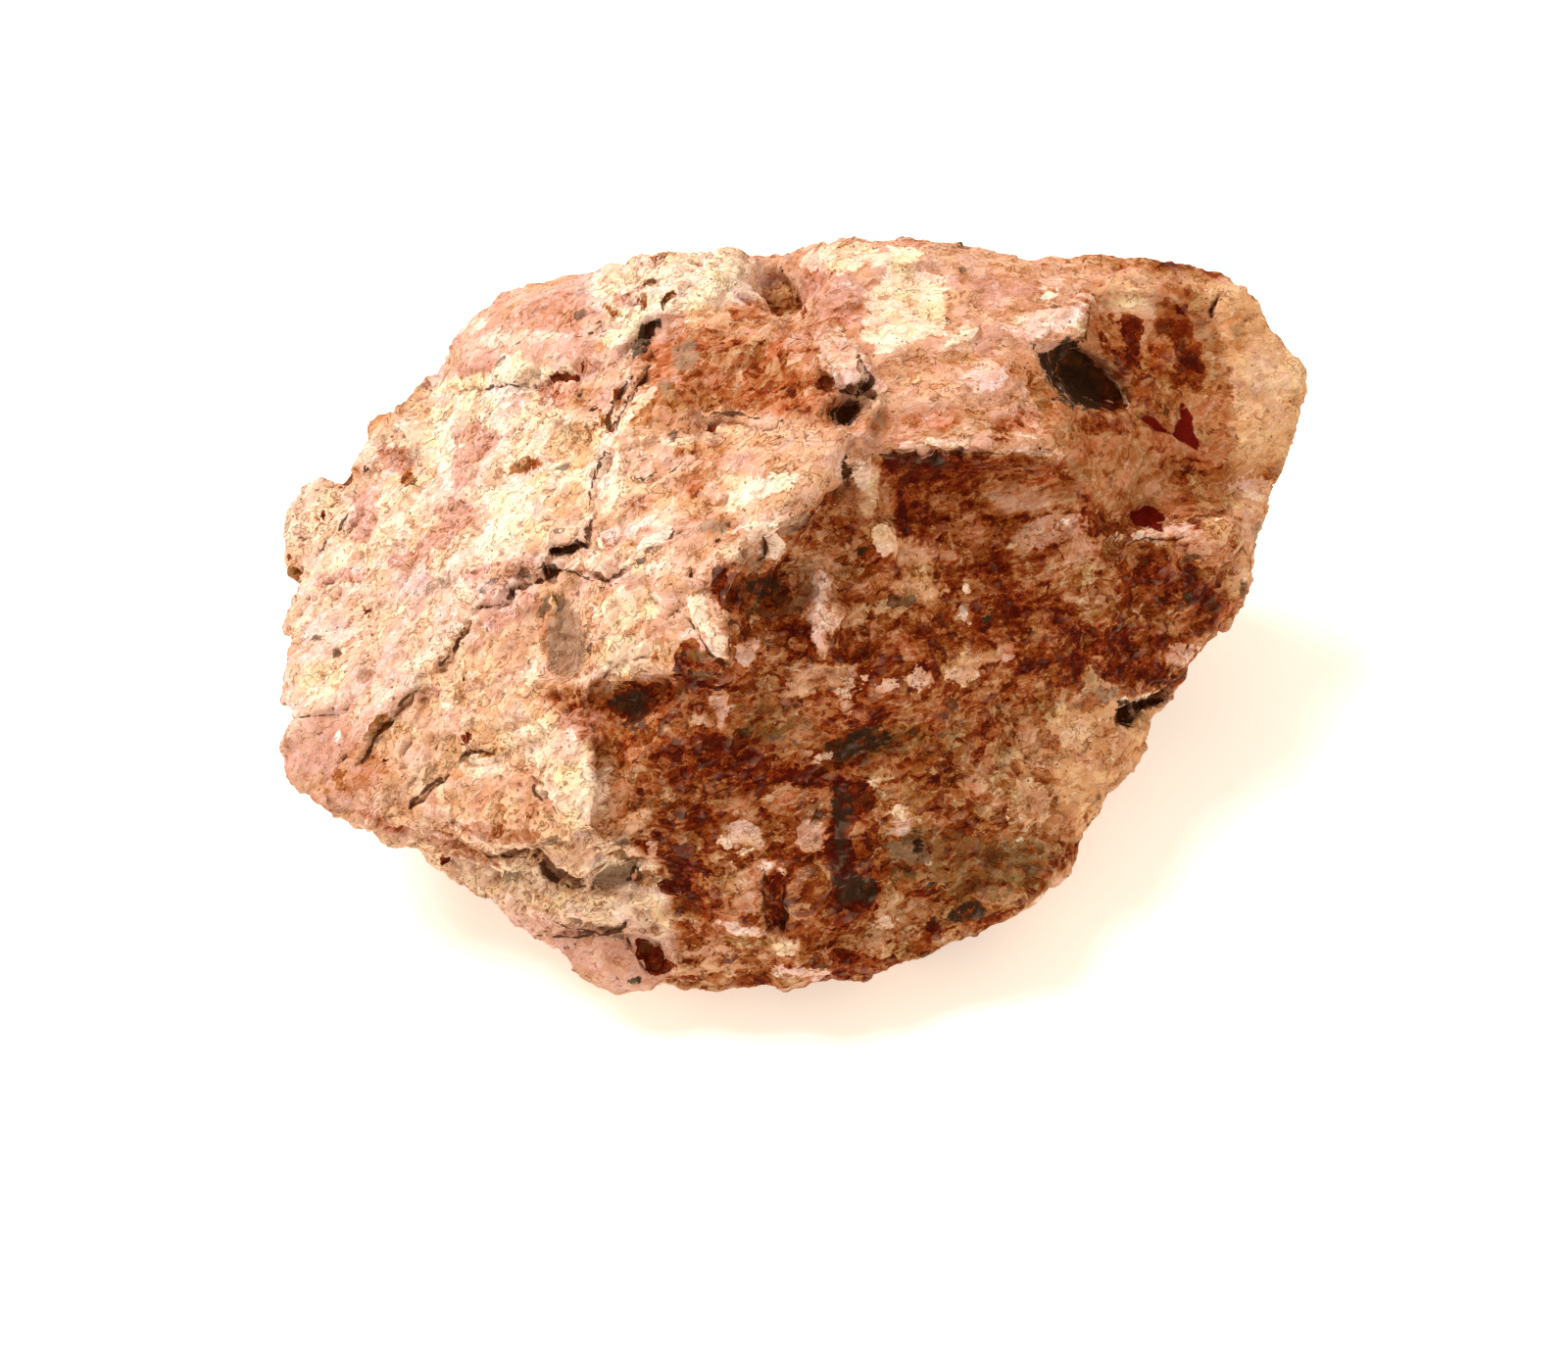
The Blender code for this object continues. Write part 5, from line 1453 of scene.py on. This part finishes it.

    # Specks, the painted shadows along the terrace steps, cracks and the wine-red marks.
    specks_and_shadows = n.times(n.rise(0.70, 0.73, specks), n.rise(0.35, 0.6, laid))
    # The painted step shadows are laid with the specks' colour.
    specks_and_shadows = n.math("MAXIMUM", specks_and_shadows, n.times(step_shadows, STEP_SHADOW_COVER))
    colour = n.cover(n.times(specks_and_shadows, SPECK_AND_SHADOW_COVER), colour, SPECK_AND_SHADOW_COLOUR)
    crack = n.rise(1.25, 0.70, n.total(n.length("crack"), n.around(fine, 0.9)))
    colour = n.cover(n.times(crack, CRACK_COVER), colour, CRACK_COLOUR)
    red = n.rise(-0.08, 0.06, n.total(n.value("wine_red"), n.around(mottle, 0.4)))
    colour = n.cover(red, colour, WINE_RED_COLOUR)
    n.put(colour, n.shader.inputs["Base Color"])

    # Cleavage faces and quartz shine a little; the dirt in the hollows doesn't.
    shiny = n.times(n.rise(0.72, 0.78, which), n.rise(0.45, 0.55, hue))
    rough = n.total(ROUGH, n.times(shiny, -0.26), n.around(fine, 0.25), n.times(quartz, -0.25),
                    n.times(dirt_and_shade, 0.15))
    n.put(n.math("MAXIMUM", rough, LEAST_ROUGH), n.shader.inputs["Roughness"])
    n.put(STONE_SPECULAR, n.shader.inputs["Specular IOR Level"])

    # Fine relief, in mm.
    height = n.total(
        n.times(stair, n.rise(0.2, 1.0, crumbly, 0.03, 0.08)),
        n.times(mottle, 0.10),
        n.times(n.math("SUBTRACT", pale_crumbs, dark_crumbs), 0.08),
        n.times(fine, 0.06),
        n.times(which, 0.03),
        n.times(facet, 0.22),
        n.times(silky, streaks, 0.20),
        n.times(step_shadows, -0.06),
        n.times(crack, -0.30),
        n.times(vein, 0.10),
    )
    bump = n.add("ShaderNodeBump")
    for name, value in (("Strength", 1.0), ("Distance", MM), ("Height", height)):
        n.put(value, bump.inputs[name])
    n.put(bump.outputs[0], n.shader.inputs["Normal"])
    return material


# ---------------------------------------------------------------- table, light and camera

FLOOR_HALF = 3.0  # metres
FLOOR_COLOUR = (0.93, 0.925, 0.91, 1.0)
FLOOR_GLOW = (0.95, 0.93, 0.83, 1.0)
FLOOR_GLOW_STRENGTH = 0.46
LIGHT_FROM = Vector((-0.48, 0.34, 0.81)).normalized()
LIGHT_SPREAD = math.radians(30)
LIGHT_POWER = 3.0
ROOM_COLOUR = (1.0, 0.84, 0.66, 1.0)
ROOM_STRENGTH = 0.81


def placed(name, data):
    """A new object of this name in the scene."""
    thing = bpy.data.objects.new(name, data)
    bpy.context.scene.collection.objects.link(thing)
    return thing


def make_table():
    """A plain white light table, which is only the stage."""
    material = bpy.data.materials.new("light_table")
    shader = Nodes(material).shader
    shader.inputs["Base Color"].default_value = FLOOR_COLOUR
    shader.inputs["Roughness"].default_value = TABLE_ROUGH
    shader.inputs["Specular IOR Level"].default_value = TABLE_SPECULAR
    shader.inputs["Emission Color"].default_value = FLOOR_GLOW
    shader.inputs["Emission Strength"].default_value = FLOOR_GLOW_STRENGTH
    mesh = bpy.data.meshes.new("table")
    corners = [(FLOOR_HALF * x, FLOOR_HALF * y, 0) for x, y in ((-1, -1), (1, -1), (1, 1), (-1, 1))]
    mesh.from_pydata(corners, [], [(0, 1, 2, 3)])
    mesh.materials.append(material)
    table = placed("table", mesh)


def make_light():
    """One large soft light from the upper left, and a bright room."""
    data = bpy.data.lights.new("window", "SUN")
    data.angle = LIGHT_SPREAD
    data.energy = LIGHT_POWER
    light = placed("window", data)
    light.location = LIGHT_FROM
    light.rotation_euler = LIGHT_FROM.to_track_quat("Z", "Y").to_euler()
    world = bpy.data.worlds.new("room")
    world.use_nodes = True
    sky = world.node_tree.nodes["Background"]
    sky.inputs["Color"].default_value = ROOM_COLOUR
    sky.inputs["Strength"].default_value = ROOM_STRENGTH
    bpy.context.scene.world = world


def make_camera():
    """The camera that matches the photograph."""
    data = bpy.data.cameras.new("camera")
    data.lens = LENS
    data.sensor_width = SENSOR
    camera = placed("camera", data)
    camera.location = Vector(EYE) * MM
    camera.rotation_euler = Vector(BACK).to_track_quat("Z", "Y").to_euler()
    bpy.context.scene.camera = camera


def main():
    bpy.context.scene.view_settings.view_transform = "Standard"

    stone = make_stone(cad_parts["pegmatite"])
    points, normals = read(stone)
    for name, values in painted(points, normals).items():
        keep(stone.data, name, values)
    keep(stone.data, "hollow", hollows(stone.data, points, normals))
    stone.data.materials.clear()
    stone.data.materials.append(feldspar())
    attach(stone, "root")
    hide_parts("pegmatite")
    print("stone:", len(stone.data.polygons), "triangles")

    make_table()
    make_light()
    make_camera()


main()
